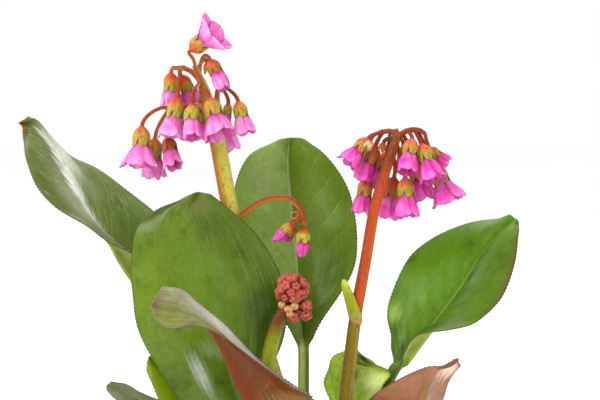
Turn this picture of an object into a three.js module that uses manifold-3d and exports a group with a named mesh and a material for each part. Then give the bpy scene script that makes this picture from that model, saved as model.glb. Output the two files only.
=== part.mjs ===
// A potted purple bergenia in flower. Millimetres, +Z up, the viewer stands at -Y.
// The origin is the centre of the pot's flat base.
import * as THREE from 'three';
import Module from 'manifold-3d';

const wasm = await Module();
wasm.setup();

// Pot and filling
const potHeight = 105;
const potRimRadius = 65;
const potBaseRadius = 47;
const potWall = 2;
const potFloor = 2.6;
const rimCollarHeight = 17;
const rimCollarStep = 2.4;
const collarBottom = potHeight - rimCollarHeight;
const collarLedge = 1;
const collarDraft = 0.6;
const innerShoulder = collarBottom - 3;
const baseBevel = 1.5;
const rimBevel = 0.8;
const potSides = 24;
const drainHoleRadius = 4;
const drainHoleCount = 6;
const drainHoleRing = 31;
const drainHoleSides = 8;
const soilBelowRim = 9;
const soilTop = potHeight - soilBelowRim;
const soilWave = { height: 0.8, broadX: 0.16, broadY: 0.19, fineX: 0.4, fineY: 0.33, fineShare: 0.5 };
const clearance = 0.3;
const stalkHoleSlack = 0.3;
const knobHollowSlack = 0.1;

// Leaf blades
const bladeThickness = 0.8;
const toothDepth = 0.45;
const ribHalfWidth = 1.7;
const ribGroove = 0.3;
const keelToStalk = 1.3;
const keelTaper = 1.2;
const columns = 7;
const narrowColumns = 5;
const sideStation = 0.62;
const narrowSideStation = 0.5;
const bladeRipple = { along: 19, across: 1.3, start: 2, fullAt: 0.2 };
const archFullAt = 0.3;
const bladeFullAt = 0.09;

// Stalks and stems
const footBottom = soilTop - 3;
const footTop = soilTop + 11;
const holeTop = soilTop + 26;
const footSwell = 1.15;
const stemSides = 8;
const branchSides = 6;
const stemSeam = [0.8, 0.6, 0.1];

// One full-size flower, measured along its axis from the top of its stalk
const flowerSides = 5;
const flowerSeam = [0.35, -1, 0.2];
const pedicelRadius = 1.05;
const pedicelNeck = 1.1;
const pedicelStep = 4.8;
const pedicelLead = 0.4;
const calyxShoulder = { along: 3, radius: 3.3 };
const calyxNotch = { along: 8.4, radius: 4.6 };
const calyxTip = { along: 11.6, radius: 5 };
const cupFloor = { along: 7.4, radius: 3.8 };
const plugShoulder = { along: 9.8 };
const plugTop = { along: 10.3, inset: 1.2 };
const petalThickness = 0.7;
const petalHalfAngle = THREE.MathUtils.degToRad(34.5);
const petalLength = 23.5;
const petalWidest = { along: 0.6, closed: 4.7, open: 6.6, width: 1, point: 0 };
const petalTip = { along: 0.88, closed: 3.4, open: 9.6, width: 0.88, point: 0.12 };
const petalPointFlare = 4;

const at = ([x, y, z]) => new THREE.Vector3(x, y, z);
const mix = THREE.MathUtils.lerp;
const smooth = THREE.MathUtils.smoothstep;

// Skins: closed bodies made of rings of points

// Joins ring a to ring b. One may be a single point, or have twice as many points as the other.
// With twin set, both faces of a blade are split into the same triangles.
function joinRings(triangles, a, countA, b, countB, twin) {
  const count = Math.max(countA, countB);
  for (let i = 0; i < count; i += 1) {
    const j = (i + 1) % count;
    if (countA === 1) {
      triangles.push([a, b + j, b + i]);
    } else if (countB === 1) {
      triangles.push([a + i, a + j, b]);
    } else if (countA === countB && twin && i >= count / 2) {
      triangles.push([a + i, a + j, b + i], [a + j, b + j, b + i]);
    } else if (countA === countB) {
      triangles.push([a + i, a + j, b + j], [a + i, b + j, b + i]);
    }
  }
  const few = Math.min(countA, countB);
  for (let i = 0; i < few && count === 2 * few; i += 1) {
    const j = (i + 1) % few;
    const after = (2 * i + 2) % count;
    if (countA === few) {
      triangles.push([a + i, b + 2 * i + 1, b + 2 * i]);
      triangles.push([a + i, a + j, b + 2 * i + 1]);
      triangles.push([a + j, b + after, b + 2 * i + 1]);
    } else {
      triangles.push([a + 2 * i, a + 2 * i + 1, b + i]);
      triangles.push([a + 2 * i + 1, b + j, b + i]);
      triangles.push([a + 2 * i + 1, a + after, b + j]);
    }
  }
}

// Closes a ring with a ladder of triangles between its two halves.
function capRing(triangles, start, count, facingBack) {
  let low = 0;
  let high = count - 1;
  while (high - low > 1) {
    const next = (high - low) % 2 === 0 ? high - 1 : low + 1;
    const corner = [start + low, start + next, start + high];
    triangles.push(facingBack ? corner.reverse() : corner);
    if (next === high - 1) {
      high -= 1;
    } else {
      low += 1;
    }
  }
}

// Turns all faces out if the body came out inside out.
function outward(body) {
  const { points, triangles } = body;
  const cross = new THREE.Vector3();
  let volume = 0;
  for (const [i, j, k] of triangles) {
    volume += cross.crossVectors(points[i], points[j]).dot(points[k]);
  }
  if (volume < 0) {
    triangles.forEach((corner) => corner.reverse());
  }
  return body;
}

function skin(rings, twin = false) {
  const points = rings.flat();
  const triangles = [];
  let start = 0;
  for (let k = 0; k + 1 < rings.length; k += 1) {
    const next = start + rings[k].length;
    joinRings(triangles, start, rings[k].length, next, rings[k + 1].length, twin);
    start = next;
  }
  capRing(triangles, 0, rings[0].length, true);
  capRing(triangles, start, rings.at(-1).length, false);
  return outward({ points, triangles });
}

function solid(body) {
  const vertProperties = new Float32Array(body.points.flatMap((p) => [p.x, p.y, p.z]));
  const triVerts = new Uint32Array(body.triangles.flat());
  return new wasm.Manifold(new wasm.Mesh({ numProp: 3, vertProperties, triVerts }));
}

// Joins bodies that grow from each other. A scrap that comes loose in a tight bend is dropped.
function joined(bodies) {
  const whole = bodies.map(solid).reduce((sum, piece) => sum.add(piece));
  const larger = (a, b) => (b.volume() > a.volume() ? b : a);
  return whole.decompose().reduce(larger);
}

function without(whole, cutters) {
  return cutters.map(solid).reduce((rest, cutter) => rest.subtract(cutter), whole);
}

const plant = new THREE.Group();

function place(name, shape, colour, roughness) {
  const geometry = new THREE.BufferGeometry();
  if (shape.points) {
    const corners = new Float32Array(shape.points.flatMap((p) => [p.x, p.y, p.z]));
    geometry.setAttribute('position', new THREE.BufferAttribute(corners, 3));
    geometry.setIndex(shape.triangles.flat());
  } else {
    const mesh = shape.getMesh();
    geometry.setAttribute('position', new THREE.BufferAttribute(mesh.vertProperties, 3));
    geometry.setIndex([...mesh.triVerts]);
  }
  const material = new THREE.MeshStandardMaterial({ color: colour, roughness, metalness: 0 });
  const mesh = new THREE.Mesh(geometry, material);
  mesh.name = name;
  plant.add(mesh);
}

// Curves and tubes

const curveThrough = (points) => new THREE.CatmullRomCurve3(points.map(at), false, 'catmullrom');

// Values between 0 and 1 that lie equally far apart along the given curves.
function evenSteps(curves, count) {
  const samples = 160;
  const reached = [0];
  for (let k = 1; k <= samples; k += 1) {
    const steps = curves.map((c) => c.getPoint(k / samples).distanceTo(c.getPoint((k - 1) / samples)));
    reached.push(reached[k - 1] + steps.reduce((sum, step) => sum + step, 0));
  }
  return Array.from({ length: count + 1 }, (_, row) => {
    const wanted = (reached[samples] * row) / count;
    const k = Math.max(1, reached.findIndex((length) => length >= wanted - 1e-9));
    return (k - 1 + (wanted - reached[k - 1]) / (reached[k] - reached[k - 1])) / samples;
  });
}

// The part of a sideways direction that is square to an axis
const squareTo = (side, axis) => side.clone().addScaledVector(axis, -side.dot(axis)).normalize();

// A ring of points square to an axis that starts on the given side
function ringAround(centre, axis, side, radius, angles) {
  const right = squareTo(side, axis);
  const up = new THREE.Vector3().crossVectors(axis, right);
  return angles.map((angle) => centre.clone()
    .addScaledVector(right, radius * Math.cos(angle))
    .addScaledVector(up, radius * Math.sin(angle)));
}

const evenAngles = (count) => Array.from({ length: count }, (_, i) => (2 * Math.PI * i) / count);

function radiusAlong(radii, t) {
  const spot = t * (radii.length - 1);
  const k = Math.min(Math.floor(spot), radii.length - 2);
  return mix(radii[k], radii[k + 1], spot - k);
}

// A round stem along a path. Each point of the path has its own radius. A rooted stem's first
// stretch stays straight, because it stands in a hole.
function stemRings(stem, extra = 0) {
  const curve = curveThrough(stem.path);
  const seam = at(stemSeam);
  const side = seam.clone();
  const angles = evenAngles(stem.rooted ? stemSides : branchSides);
  const first = stem.rooted ? 1 / (stem.path.length - 1) : 0;
  const steps = evenSteps([curve], stem.steps).map((t) => mix(first, 1, t));
  const rings = steps.map((t) => {
    side.copy(squareTo(side, curve.getTangent(t)));
    const radius = radiusAlong(stem.radii, t) + extra;
    return ringAround(curve.getPoint(t), curve.getTangent(t), side, radius, angles);
  });
  if (stem.rooted) {
    const foot = at(stem.path[0]).setZ(footBottom - extra);
    rings.unshift(ringAround(foot, new THREE.Vector3(0, 0, 1), seam, stem.radii[0] + extra, angles));
  }
  return rings;
}

// Leaves: each is one body, its stalk running on into the blade's midrib

const leaves = [
  {
    name: 'leaf_back', colour: 0x6f8f35, foot: [2, 18], stalkRadius: 3.1, rows: 18, bulge: 2.5, wave: 1,
    stalk: [[2, 18, 122], [2, 17, 146]],
    left: [[-1, 16, 169], [-7, 18, 183], [-21, 20, 202], [-31, 25, 222], [-37, 30, 242],
      [-37, 36, 260], [-29, 42, 277], [-14, 47, 285]],
    rib: [[2, 16, 169], [1, 22, 183], [-1, 28, 199], [-2, 34, 217], [-4, 39, 236],
      [-6, 43, 256], [-7, 46, 273], [-6, 48, 286]],
    right: [[5, 16, 169], [10, 18, 182], [23, 21, 201], [31, 26, 218], [32, 31, 238],
      [27, 37, 259], [16, 42, 276], [3, 47, 286]],
  },
  {
    name: 'leaf_front', colour: 0x6b8c35, foot: [-24, -7], stalkRadius: 3.2, rows: 18, bulge: 3, wave: 1.2,
    stalk: [[-25, -8, 113]],
    left: [[-31, -10, 128], [-60, -16, 141], [-77, -18, 164], [-88, -18, 185], [-91, -17, 203],
      [-92, -15, 221], [-89, -13, 240], [-79, -11, 250], [-64, -9, 256]],
    rib: [[-28, -10, 129], [-34, -12, 145], [-39, -13, 162], [-44, -14, 180], [-50, -14, 200],
      [-55, -13, 220], [-58, -12, 238], [-60, -10, 250], [-56, -9, 259]],
    right: [[-25, -10, 130], [-21, -12, 148], [-15, -13, 165], [-9, -13, 180], [-7, -12, 197],
      [-11, -10, 215], [-23, -9, 236], [-38, -8, 250], [-48, -8, 258]],
  },
  {
    name: 'leaf_folded', colour: 0x8a5030, foot: [-10, -30], stalkRadius: 2.9, rows: 17,
    bulge: 2, wave: 0.6,
    stalk: [],
    left: [[-10, -30, 117], [3, -44, 131], [6, -52, 152], [-5, -57, 160], [-20, -62, 172],
      [-33, -66, 183], [-44, -70, 190], [-56, -73, 194], [-68, -74, 193], [-76, -72, 197]],
    rib: [[-12, -31, 117], [-23, -40, 135], [-30, -47, 151], [-34, -50, 160], [-38, -54, 171],
      [-42, -58, 181], [-47, -61, 190], [-57, -63, 199], [-67, -65, 202], [-77, -67, 204]],
    right: [[-13, -27, 117], [3, -24, 130], [7, -30, 149], [-3, -35, 157.5], [-19, -42, 170],
      [-32, -48, 183.5], [-42, -52, 194.5], [-53, -54, 204], [-62, -56, 211.5], [-72, -60, 214]],
  },
  {
    name: 'leaf_far_left', colour: 0x8fa070, foot: [-26, 14], stalkRadius: 3, rows: 17, bulge: 2.5, wave: 1,
    stalk: [[-31, 15, 118], [-48, 17, 142], [-68, 19, 172]],
    left: [[-87, 17, 199], [-86, 10, 220], [-95, 4, 227], [-109, 2, 233], [-121, 4, 242],
      [-136, 7, 252], [-147, 14, 262], [-153, 22, 276], [-155, 30, 286], [-156, 29, 291]],
    rib: [[-84, 20, 197], [-92, 21, 209], [-99, 22, 219], [-105, 23, 229], [-113, 24, 239],
      [-121, 26, 253], [-129, 28, 268], [-139, 31, 283], [-150, 34, 294], [-157, 30, 296]],
    right: [[-82, 23, 196], [-77, 36, 217], [-75, 44, 234], [-84, 46, 246], [-100, 46, 259],
      [-114, 46, 268], [-126, 44, 275], [-138, 42, 282], [-149, 38, 296], [-153, 33, 300]],
  },
  {
    name: 'leaf_right', colour: 0x648424, foot: [37, 13], stalkRadius: 3.3, rows: 17, bulge: 2.5, wave: 1,
    stalk: [[39, 13, 122], [44, 13, 140]],
    left: [[50, 15, 161], [51, 20, 176], [49, 27, 189], [53, 33, 202], [62, 38, 220],
      [75, 42, 230], [95, 45, 238], [110, 46, 241.5], [118, 43, 241]],
    rib: [[53, 12, 160], [60, 14, 167], [67, 17, 175], [75, 20, 184], [83, 23, 194],
      [92, 26, 206], [101, 30, 220], [112, 35, 233], [121, 40, 241]],
    right: [[56, 9, 161], [58, 2, 171], [66, -3, 180], [81, -4, 184], [98, -2, 188],
      [111, 4, 199], [119, 14, 218], [123, 27, 232], [124, 38, 237]],
  },
  {
    name: 'leaf_red', narrow: true, colour: 0xb07258, foot: [27, -12], stalkRadius: 2.6, rows: 12,
    bulge: 1.5, wave: 0.8,
    stalk: [[28, -13, 112]],
    left: [[35, -17, 121], [54, -14, 118], [70, -15, 127], [76, -22, 142], [79, -32, 157],
      [83, -40, 164], [85, -46, 170], [84, -50, 172]],
    rib: [[33, -17, 122], [46, -24, 129], [59, -33, 138], [65, -41, 149], [68, -46, 159],
      [71, -50, 167], [77, -52, 171], [83, -52, 174]],
    right: [[31, -17, 123], [31, -18, 134], [35, -22, 144], [41, -28, 152], [53, -36, 161],
      [66, -44, 168], [77, -48, 170], [82, -51, 173]],
  },
  {
    name: 'leaf_lime', narrow: true, colour: 0x86a020, foot: [-30, 3], stalkRadius: 2.3, rows: 10,
    bulge: 1.2, wave: 0.6,
    stalk: [],
    left: [[-39, -1, 121], [-57, -4, 122], [-71, -4, 131], [-79, -3, 147], [-84, 0, 158], [-85, 3, 164]],
    rib: [[-37, 1, 122], [-49, 1, 133], [-61, 2, 144], [-71, 3, 154], [-79, 4, 162], [-83, 4, 167]],
    right: [[-35, 3, 124], [-40, 5, 144], [-51, 8, 156], [-62, 8, 165], [-73, 7, 168], [-80, 5, 168]],
  },
  {
    name: 'leaf_low', narrow: true, colour: 0x878e65, foot: [-33, -15], stalkRadius: 2.3, rows: 10,
    bulge: 1.2, wave: 0.8,
    stalk: [],
    left: [[-40, -22, 121], [-56, -34, 123], [-72, -40, 130], [-86, -43, 139], [-97, -42, 150],
      [-104, -38, 155]],
    rib: [[-39, -20, 123], [-53, -24, 131], [-67, -28, 140], [-81, -32, 147], [-94, -35, 153],
      [-103, -37, 157]],
    right: [[-39, -18, 125], [-50, -20, 136], [-63, -21, 141], [-77, -23, 147], [-90, -27, 155],
      [-101, -33, 159]],
  },
  {
    name: 'leaf_young', narrow: true, colour: 0x9fc048, foot: [23, 18], stalkRadius: 2.2, rows: 11,
    bulge: 2, wave: 1.6,
    stalk: [],
    left: [[26, 16, 116], [20, 10, 127], [16, 8, 142], [14, 9, 155], [17, 13, 164], [25, 16, 170]],
    rib: [[28, 17, 116], [28, 18, 126], [29, 19, 139], [29, 19, 151], [30, 20, 161], [31, 19, 170]],
    right: [[30, 15, 116], [36, 6, 127], [44, 3, 142], [47, 2, 152], [49, 2, 160], [40, 6, 165]],
  },
];

// The leaf's stalk up to the blade, as rings with the same number of points as the blade's rings.
function stalkRings(leaf, columns, extra = 0) {
  const foot = [...leaf.foot, footBottom];
  const knee = [...leaf.foot, footTop];
  const path = [foot, knee, ...leaf.stalk, leaf.rib[0], leaf.rib[1]];
  const curve = curveThrough(path);
  const across = at(leaf.right[0]).sub(at(leaf.left[0]));
  const angles = Array.from({ length: 2 * columns }, (_, i) => ((i + 0.5) / columns - 1) * Math.PI);
  const kneeAt = 1 / (path.length - 1);
  const bladeAt = 1 - kneeAt;
  const steps = 2 + leaf.stalk.length;
  const rings = [ringAround(at(foot).setZ(footBottom - extra), new THREE.Vector3(0, 0, 1), across,
    leaf.stalkRadius * footSwell + extra, angles)];
  for (let k = 0; k <= steps; k += 1) {
    const t = mix(kneeAt, bladeAt, k / steps);
    const radius = leaf.stalkRadius * mix(footSwell, 1, k / steps) + extra;
    rings.push(ringAround(curve.getPoint(t), curve.getTangent(t), across, radius, angles));
  }
  return rings;
}

// A point in the middle of the blade: u runs from -1 on the left edge over 0 on the midrib to 1,
// and t from 0 at the stalk to 1 at the tip.
function bladePoint(leaf, curves, u, t) {
  const rib = curves.rib.getPoint(t);
  const edge = (u < 0 ? curves.left : curves.right).getPoint(t);
  const reach = Math.abs(u);
  const across = edge.clone().sub(rib).multiplyScalar(u < 0 ? -1 : 1);
  const normal = new THREE.Vector3().crossVectors(across, curves.rib.getTangent(t)).normalize();
  const arch = leaf.bulge * Math.sin(Math.PI * reach) * smooth(t, 0, archFullAt);
  const turn = bladeRipple.along * t + bladeRipple.across * u + bladeRipple.start;
  const ripple = leaf.wave * reach ** 2 * Math.sin(turn) * smooth(t, 0, bladeRipple.fullAt);
  return rib.lerp(edge, reach).addScaledVector(normal, arch + ripple);
}

// The blade's face points up here, square to two short steps along and across it.
function bladeNormal(leaf, curves, u, t) {
  const stepAlong = 0.01;
  const stepAcross = 0.06;
  const along = bladePoint(leaf, curves, u, Math.min(1, t + stepAlong))
    .sub(bladePoint(leaf, curves, u, t - stepAlong));
  const across = bladePoint(leaf, curves, u + stepAcross, t)
    .sub(bladePoint(leaf, curves, u - stepAcross, t));
  return across.cross(along).normalize();
}

// One closed ring round the blade, with a groove on the midrib above and a keel below it
function bladeSection(leaf, curves, t, tooth) {
  const width = curves.left.getPoint(t).distanceTo(curves.right.getPoint(t)) / 2;
  const ribEdge = Math.min(0.3, ribHalfWidth / width);
  const wide = [-sideStation, -ribEdge, 0, ribEdge, sideStation];
  const inner = leaf.narrow ? [-narrowSideStation, 0, narrowSideStation] : wide;
  const edge = 1 + tooth / width;
  const above = [];
  const below = [];
  [-edge, ...inner, edge].forEach((u) => {
    const middle = bladePoint(leaf, curves, u, t);
    const normal = bladeNormal(leaf, curves, u, t);
    const half = bladeThickness / 2;
    const keel = u === 0 ? keelToStalk * leaf.stalkRadius * (1 - t) ** keelTaper : 0;
    const groove = u === 0 ? ribGroove : 0;
    above.push(middle.clone().addScaledVector(normal, half - groove));
    below.unshift(middle.clone().addScaledVector(normal, -half - keel));
  });
  return [...above, ...below];
}

function leafBody(leaf) {
  const curves = {
    left: curveThrough(leaf.left),
    rib: curveThrough(leaf.rib),
    right: curveThrough(leaf.right),
  };
  const rings = stalkRings(leaf, leaf.narrow ? narrowColumns : columns);
  const stalkEnd = rings.at(-1);
  evenSteps(Object.values(curves), leaf.rows).slice(1).forEach((t, row) => {
    const section = bladeSection(leaf, curves, t, row % 2 ? toothDepth : -toothDepth);
    const blade = smooth(t, 0, bladeFullAt);
    const centre = curves.rib.getPoint(t).sub(curves.rib.getPoint(0));
    rings.push(section.map((p, i) => stalkEnd[i].clone().add(centre).lerp(p, blade)));
  });
  return skin(rings, true);
}

// Flowers: a stalk and a calyx with five lobes, in one body, and the corolla that stands in it

function flowerFrame({ base, aim }) {
  return { base: at(base), axis: at(aim).normalize(), side: at(flowerSeam) };
}

function flowerRing(flower, along, radius, angles) {
  const { base, axis, side } = flowerFrame(flower);
  const centre = base.addScaledVector(axis, along * flower.size);
  return ringAround(centre, axis, side, radius * flower.size * (flower.girth ?? 1), angles);
}

function stalkAndCalyx(flower) {
  const { base, axis, side } = flowerFrame(flower);
  const root = at(flower.from);
  const reach = root.distanceTo(base);
  const risen = root.clone().setZ(root.z + flower.rise);
  const lead = base.clone().addScaledVector(axis, -pedicelLead * reach);
  const stalk = new THREE.CubicBezierCurve3(root, risen, lead, base);
  const steps = Math.max(2, Math.round(reach / pedicelStep));
  const centres = stalk.getPoints(steps);
  const corners = evenAngles(flowerSides);
  const rings = [flowerRing(flower, 0, pedicelRadius * pedicelNeck, corners)];
  for (let k = steps - 1; k >= 0; k -= 1) {
    const onward = centres[k + 1].clone().sub(centres[Math.max(k - 1, 0)]).normalize();
    side.copy(squareTo(side, onward));
    rings.unshift(ringAround(centres[k], onward, side, pedicelRadius, corners));
  }
  const around = evenAngles(2 * flowerSides);
  rings.push(flowerRing(flower, calyxShoulder.along, calyxShoulder.radius, around));
  const tips = flowerRing(flower, calyxTip.along, calyxTip.radius, around);
  const notches = flowerRing(flower, calyxNotch.along, calyxNotch.radius, around);
  rings.push(tips.map((tip, i) => (i % 2 ? notches[i] : tip)));
  rings.push(flowerRing(flower, cupFloor.along, cupFloor.radius, corners));
  return skin(rings);
}

// Two rings of five points: across the petal at its widest and at its tip
function petalRings(flower, middle) {
  const thick = petalThickness / flower.size;
  return [petalWidest, petalTip].flatMap(({ along, closed, open, width, point }) => {
    const radius = mix(closed, open, flower.flare);
    const half = petalHalfAngle * width;
    const edges = [middle - half, middle + half];
    const [left, right] = flowerRing(flower, along * petalLength, radius, edges);
    const crownRadius = radius + petalPointFlare * point;
    const [crown] = flowerRing(flower, (along + point) * petalLength, crownRadius, [middle]);
    const inside = flowerRing(flower, along * petalLength, radius - thick, edges.reverse());
    return [left, crown, right, ...inside];
  });
}

// Five petals that grow from the sides of one short five-sided plug
function corollaBody(flower) {
  const corners = evenAngles(flowerSides);
  const gap = clearance / flower.size;
  const bottom = flowerRing(flower, cupFloor.along + gap, cupFloor.radius - gap, corners);
  const outer = flowerRing(flower, plugShoulder.along, cupFloor.radius - gap, corners);
  const inner = flowerRing(flower, plugTop.along, cupFloor.radius - plugTop.inset, corners);
  const points = [...bottom, ...outer, ...inner];
  const triangles = [];
  joinRings(triangles, 0, flowerSides, flowerSides, flowerSides, false);
  capRing(triangles, 0, flowerSides, true);
  capRing(triangles, 2 * flowerSides, flowerSides, false);
  for (let petal = 0; petal < flowerSides; petal += 1) {
    const next = (petal + 1) % flowerSides;
    const middle = corners[petal] + Math.PI / flowerSides;
    const root = [flowerSides + petal, flowerSides + next, 2 * flowerSides + next, 2 * flowerSides + petal];
    const first = points.length;
    points.push(...petalRings(flower, middle));
    triangles.push([root[0], root[1], first + 1], [root[0], first + 1, first]);
    triangles.push([root[1], first + 2, first + 1]);
    triangles.push([root[1], root[2], first + 3], [root[1], first + 3, first + 2]);
    triangles.push([root[2], root[3], first + 4], [root[2], first + 4, first + 3]);
    triangles.push([root[3], root[0], first], [root[3], first, first + 4]);
    joinRings(triangles, first, 5, first + 5, 5, false);
    capRing(triangles, first + 5, 5, false);
  }
  return outward({ points, triangles });
}

const leftFlowers = [
  { from: [-57.5, 0, 328], base: [-60, -1, 337], aim: [0.79, -0.2, 0.58],
    size: 0.8, girth: 1.25, flare: 1, rise: 7 },
  { from: [-55, 1, 323], base: [-49.5, -2, 332.5], aim: [0.43, -0.22, -0.87],
    size: 0.8, flare: 0.3, rise: 12 },
  { from: [-69, 1, 327], base: [-71, 5, 325], aim: [-0.02, 0.36, -0.93],
    size: 0.84, flare: 0.5, rise: 2 },
  { from: [-63, 0, 326.8], base: [-66, 10, 323.5], aim: [0.36, 0.45, -0.8],
    size: 0.82, flare: 0.6, rise: 3 },
  { from: [-66, 0, 327.3], base: [-67, -3, 311.5], aim: [-0.13, -0.15, -0.97],
    size: 0.98, flare: 0.7, rise: -3 },
  { from: [-54.5, 0, 319.5], base: [-59, -12, 308], aim: [0.05, -0.4, -0.92],
    size: 0.86, flare: 0.45, rise: 1 },
  { from: [-53, 1, 316], base: [-55, 9, 308.5], aim: [-0.05, 0.23, -0.97],
    size: 0.9, flare: 0.45, rise: 1 },
  { from: [-53, -0.5, 317], base: [-49.5, -10, 311.5], aim: [0.3, -0.36, -0.88],
    size: 1.02, flare: 0.85, rise: 2 },
  { from: [-44, 6, 317], base: [-39.5, 7, 308], aim: [-0.12, 0.05, -0.97],
    size: 0.5, flare: 0.2, rise: 1 },
  { from: [-43, 5, 316.5], base: [-34, 2, 309.5], aim: [0.21, -0.11, -0.97],
    size: 0.8, flare: 0.6, rise: 2 },
  { from: [-45.5, 6, 314], base: [-44.5, 15, 303], aim: [0.26, 0.1, -0.96],
    size: 0.94, flare: 0.6, rise: 3 },
  { from: [-73, 2, 304.5], base: [-86.5, -4, 296], aim: [-0.04, -0.18, -0.98],
    size: 0.98, flare: 1, rise: 4 },
  { from: [-71.5, 2.5, 304.8], base: [-80, 6, 289], aim: [-0.11, 0.16, -0.98],
    size: 0.94, flare: 0.6, rise: 1 },
  { from: [-69.5, 3.5, 305], base: [-73, 6, 289.5], aim: [0.18, -0.5, -0.85],
    size: 0.86, flare: 0.5, rise: 0 },
];

const rightFlowers = [
  { from: [42.7, -7.5, 291.5], base: [37.5, -6, 289.5], aim: [-0.62, -0.2, -0.76],
    size: 0.82, flare: 0.7, rise: 1 },
  { from: [46.5, -8, 293], base: [41.5, -1, 285.5], aim: [-0.33, 0.1, -0.94],
    size: 0.9, flare: 0.4, rise: 1 },
  { from: [44.5, -7.5, 292.3], base: [37, 10, 266.5], aim: [-0.16, -0.08, -0.98],
    size: 0.85, flare: 0.6, rise: 0 },
  { from: [50, -7, 285], base: [52, 5, 267.5], aim: [-0.18, 0.21, -0.96],
    size: 0.98, flare: 0.65, rise: -3 },
  { from: [53, -8, 287], base: [57.5, -7, 268], aim: [0.04, -0.18, -0.98],
    size: 0.95, flare: 0.7, rise: -3 },
  { from: [58, -8.5, 293.2], base: [61, -12, 289.5], aim: [-0.15, -0.43, -0.89],
    size: 0.88, flare: 0.5, rise: 1 },
  { from: [62, -8, 293.8], base: [66, -10, 286.5], aim: [0.3, -0.3, -0.91],
    size: 0.93, flare: 0.6, rise: 1 },
  { from: [60, -7, 293.5], base: [68, 8, 285.5], aim: [0.28, 0.5, -0.82],
    size: 0.7, flare: 0.3, rise: 2 },
  { from: [64.5, -7, 293.6], base: [71, 4, 283.5], aim: [0.74, 0.25, -0.63],
    size: 0.58, flare: 0.6, rise: 1 },
  { from: [68.2, -7.2, 291.8], base: [74, -1, 275], aim: [0.36, -0.05, -0.93],
    size: 0.96, flare: 1, rise: -1 },
  { from: [56, -7.5, 292], base: [63, 6, 277], aim: [0.2, 0.13, -0.97],
    size: 0.96, flare: 0.6, rise: -1 },
  { from: [53.5, -7.5, 289.5], base: [57, 3, 284.5], aim: [0, 0.5, -0.86],
    size: 0.72, flare: 0.4, rise: 1 },
  { from: [49, -8, 293.3], base: [48, 9, 281], aim: [-0.25, 0.35, -0.9],
    size: 0.9, flare: 0.5, rise: 2 },
];

const sideBuds = [
  { from: [1.2, -9.2, 247], base: [-4.8, -10.5, 243], aim: [-0.68, -0.2, -0.71],
    size: 0.58, flare: 0, rise: -1 },
  { from: [1.4, -8.8, 246.5], base: [-3.2, -5.5, 241], aim: [-0.42, 0.45, -0.79],
    size: 0.5, flare: 0, rise: -1 },
  { from: [2, -9, 245], base: [2, -9, 240], aim: [-0.07, -0.07, -1],
    size: 0.66, girth: 1.2, flare: 0, rise: 0 },
];

// Calyces whose petals have not opened or have dropped
const leftCalyces = [
  { from: [-56.3, 0.3, 325.6], base: [-51, 5, 331], aim: [0.12, 0.11, -0.99],
    size: 0.55, rise: 3 },
  { from: [0, -9, 249], base: [-2.5, -11.5, 247], aim: [-0.13, -0.97, 0.21],
    size: 0.4, rise: 0 },
];

const rightCalyces = [
  { from: [46.5, -8, 293], base: [38.5, -12, 289], aim: [-0.35, -0.35, -0.85],
    size: 0.5, rise: 1 },
  { from: [51.6, -8.2, 289.5], base: [46, -3, 287], aim: [-0.3, 0.1, -0.95],
    size: 0.45, rise: 0 },
];

// Stems

const leftStem = {
  rooted: true, steps: 12,
  path: [[1, 0, footBottom], [1, 0, footTop], [-4, 0, 125], [-13, 0, 152], [-22, 0, 183], [-30, 0.5, 216],
    [-37.5, 1, 246], [-41.5, 1, 266], [-45.5, 1, 288], [-48.5, 1, 300], [-51, 1, 310.5], [-53.5, 0, 318.5],
    [-56.5, 0, 325.5], [-58, 0, 329]],
  radii: [5, 5, 5, 5, 4.9, 4.8, 4.7, 4.6, 4.5, 4.1, 3.4, 2.6, 1.8, 1.2],
};

const leftBranches = [
  { steps: 5, path: [[-53.5, 0, 319], [-59.5, 0, 325.5], [-65, 0, 327.5], [-69.5, 1, 327.3]],
    radii: [1.5, 1.4, 1.3, 1.1] },
  { steps: 5, path: [[-50, 1, 306.5], [-58.5, 4.5, 306], [-66.5, 3.5, 305], [-73.5, 2, 304.5]],
    radii: [1.9, 1.8, 1.7, 1.5] },
  { steps: 5, path: [[-48, 1, 301], [-46, 6, 309.5], [-45.5, 6, 314], [-44.5, 6, 317], [-42.5, 5, 316.5]],
    radii: [1.6, 1.5, 1.4, 1.3, 1.2] },
  { steps: 12, path: [[-37, 0, 243], [-31.5, -3, 247], [-26.5, -4, 251], [-21, -5, 254.5],
    [-13.5, -7, 256.5], [-6.5, -8, 256.5], [-1, -9, 252.5], [1.5, -9, 247], [2, -9, 242]],
    radii: [2.2, 1.8, 1.6, 1.5, 1.5, 1.4, 1.5, 1.8, 1.8] },
];

const rightStem = {
  rooted: true, steps: 12,
  path: [[22, -1, footBottom], [22, -1, footTop], [23, -2, 125], [25, -3, 144.5], [28.5, -5, 175.5],
    [31, -6, 195], [33, -6, 206], [36, -7, 222.5], [40, -8, 247.5], [42, -8, 255.5], [46, -9, 269.5],
    [50.5, -9, 283], [52.5, -9, 290.5], [52, -9, 294.5]],
  radii: [4, 4, 3.9, 3.8, 3.6, 3.4, 3.3, 3.1, 3, 3, 2.9, 2.8, 2.3, 1.4],
};

const rightBranches = [
  { steps: 4, path: [[52, -9, 291.5], [49, -8.5, 293.3], [45.5, -8, 292.8], [42.5, -7, 291.5]],
    radii: [1.5, 1.4, 1.3, 1.1] },
  { steps: 6, path: [[50.5, -9, 283], [53.5, -8, 289], [56.5, -8, 292.5], [61, -8, 294],
    [65.5, -7.6, 293.6], [68.4, -7.2, 291.6]],
    radii: [1.9, 1.7, 1.6, 1.5, 1.3, 1.1] },
];

const budStem = {
  rooted: true, steps: 9,
  path: [[-21, -25, footBottom], [-21, -25, footTop], [-20.5, -25, 125], [-19.5, -26, 148],
    [-16.5, -27, 173], [-13.5, -28, 186], [-10.5, -28, 194], [-7, -28, 200]],
  radii: [4.4, 4.4, 4.3, 4.2, 4, 3.8, 3.3, 2.6],
};

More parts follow.
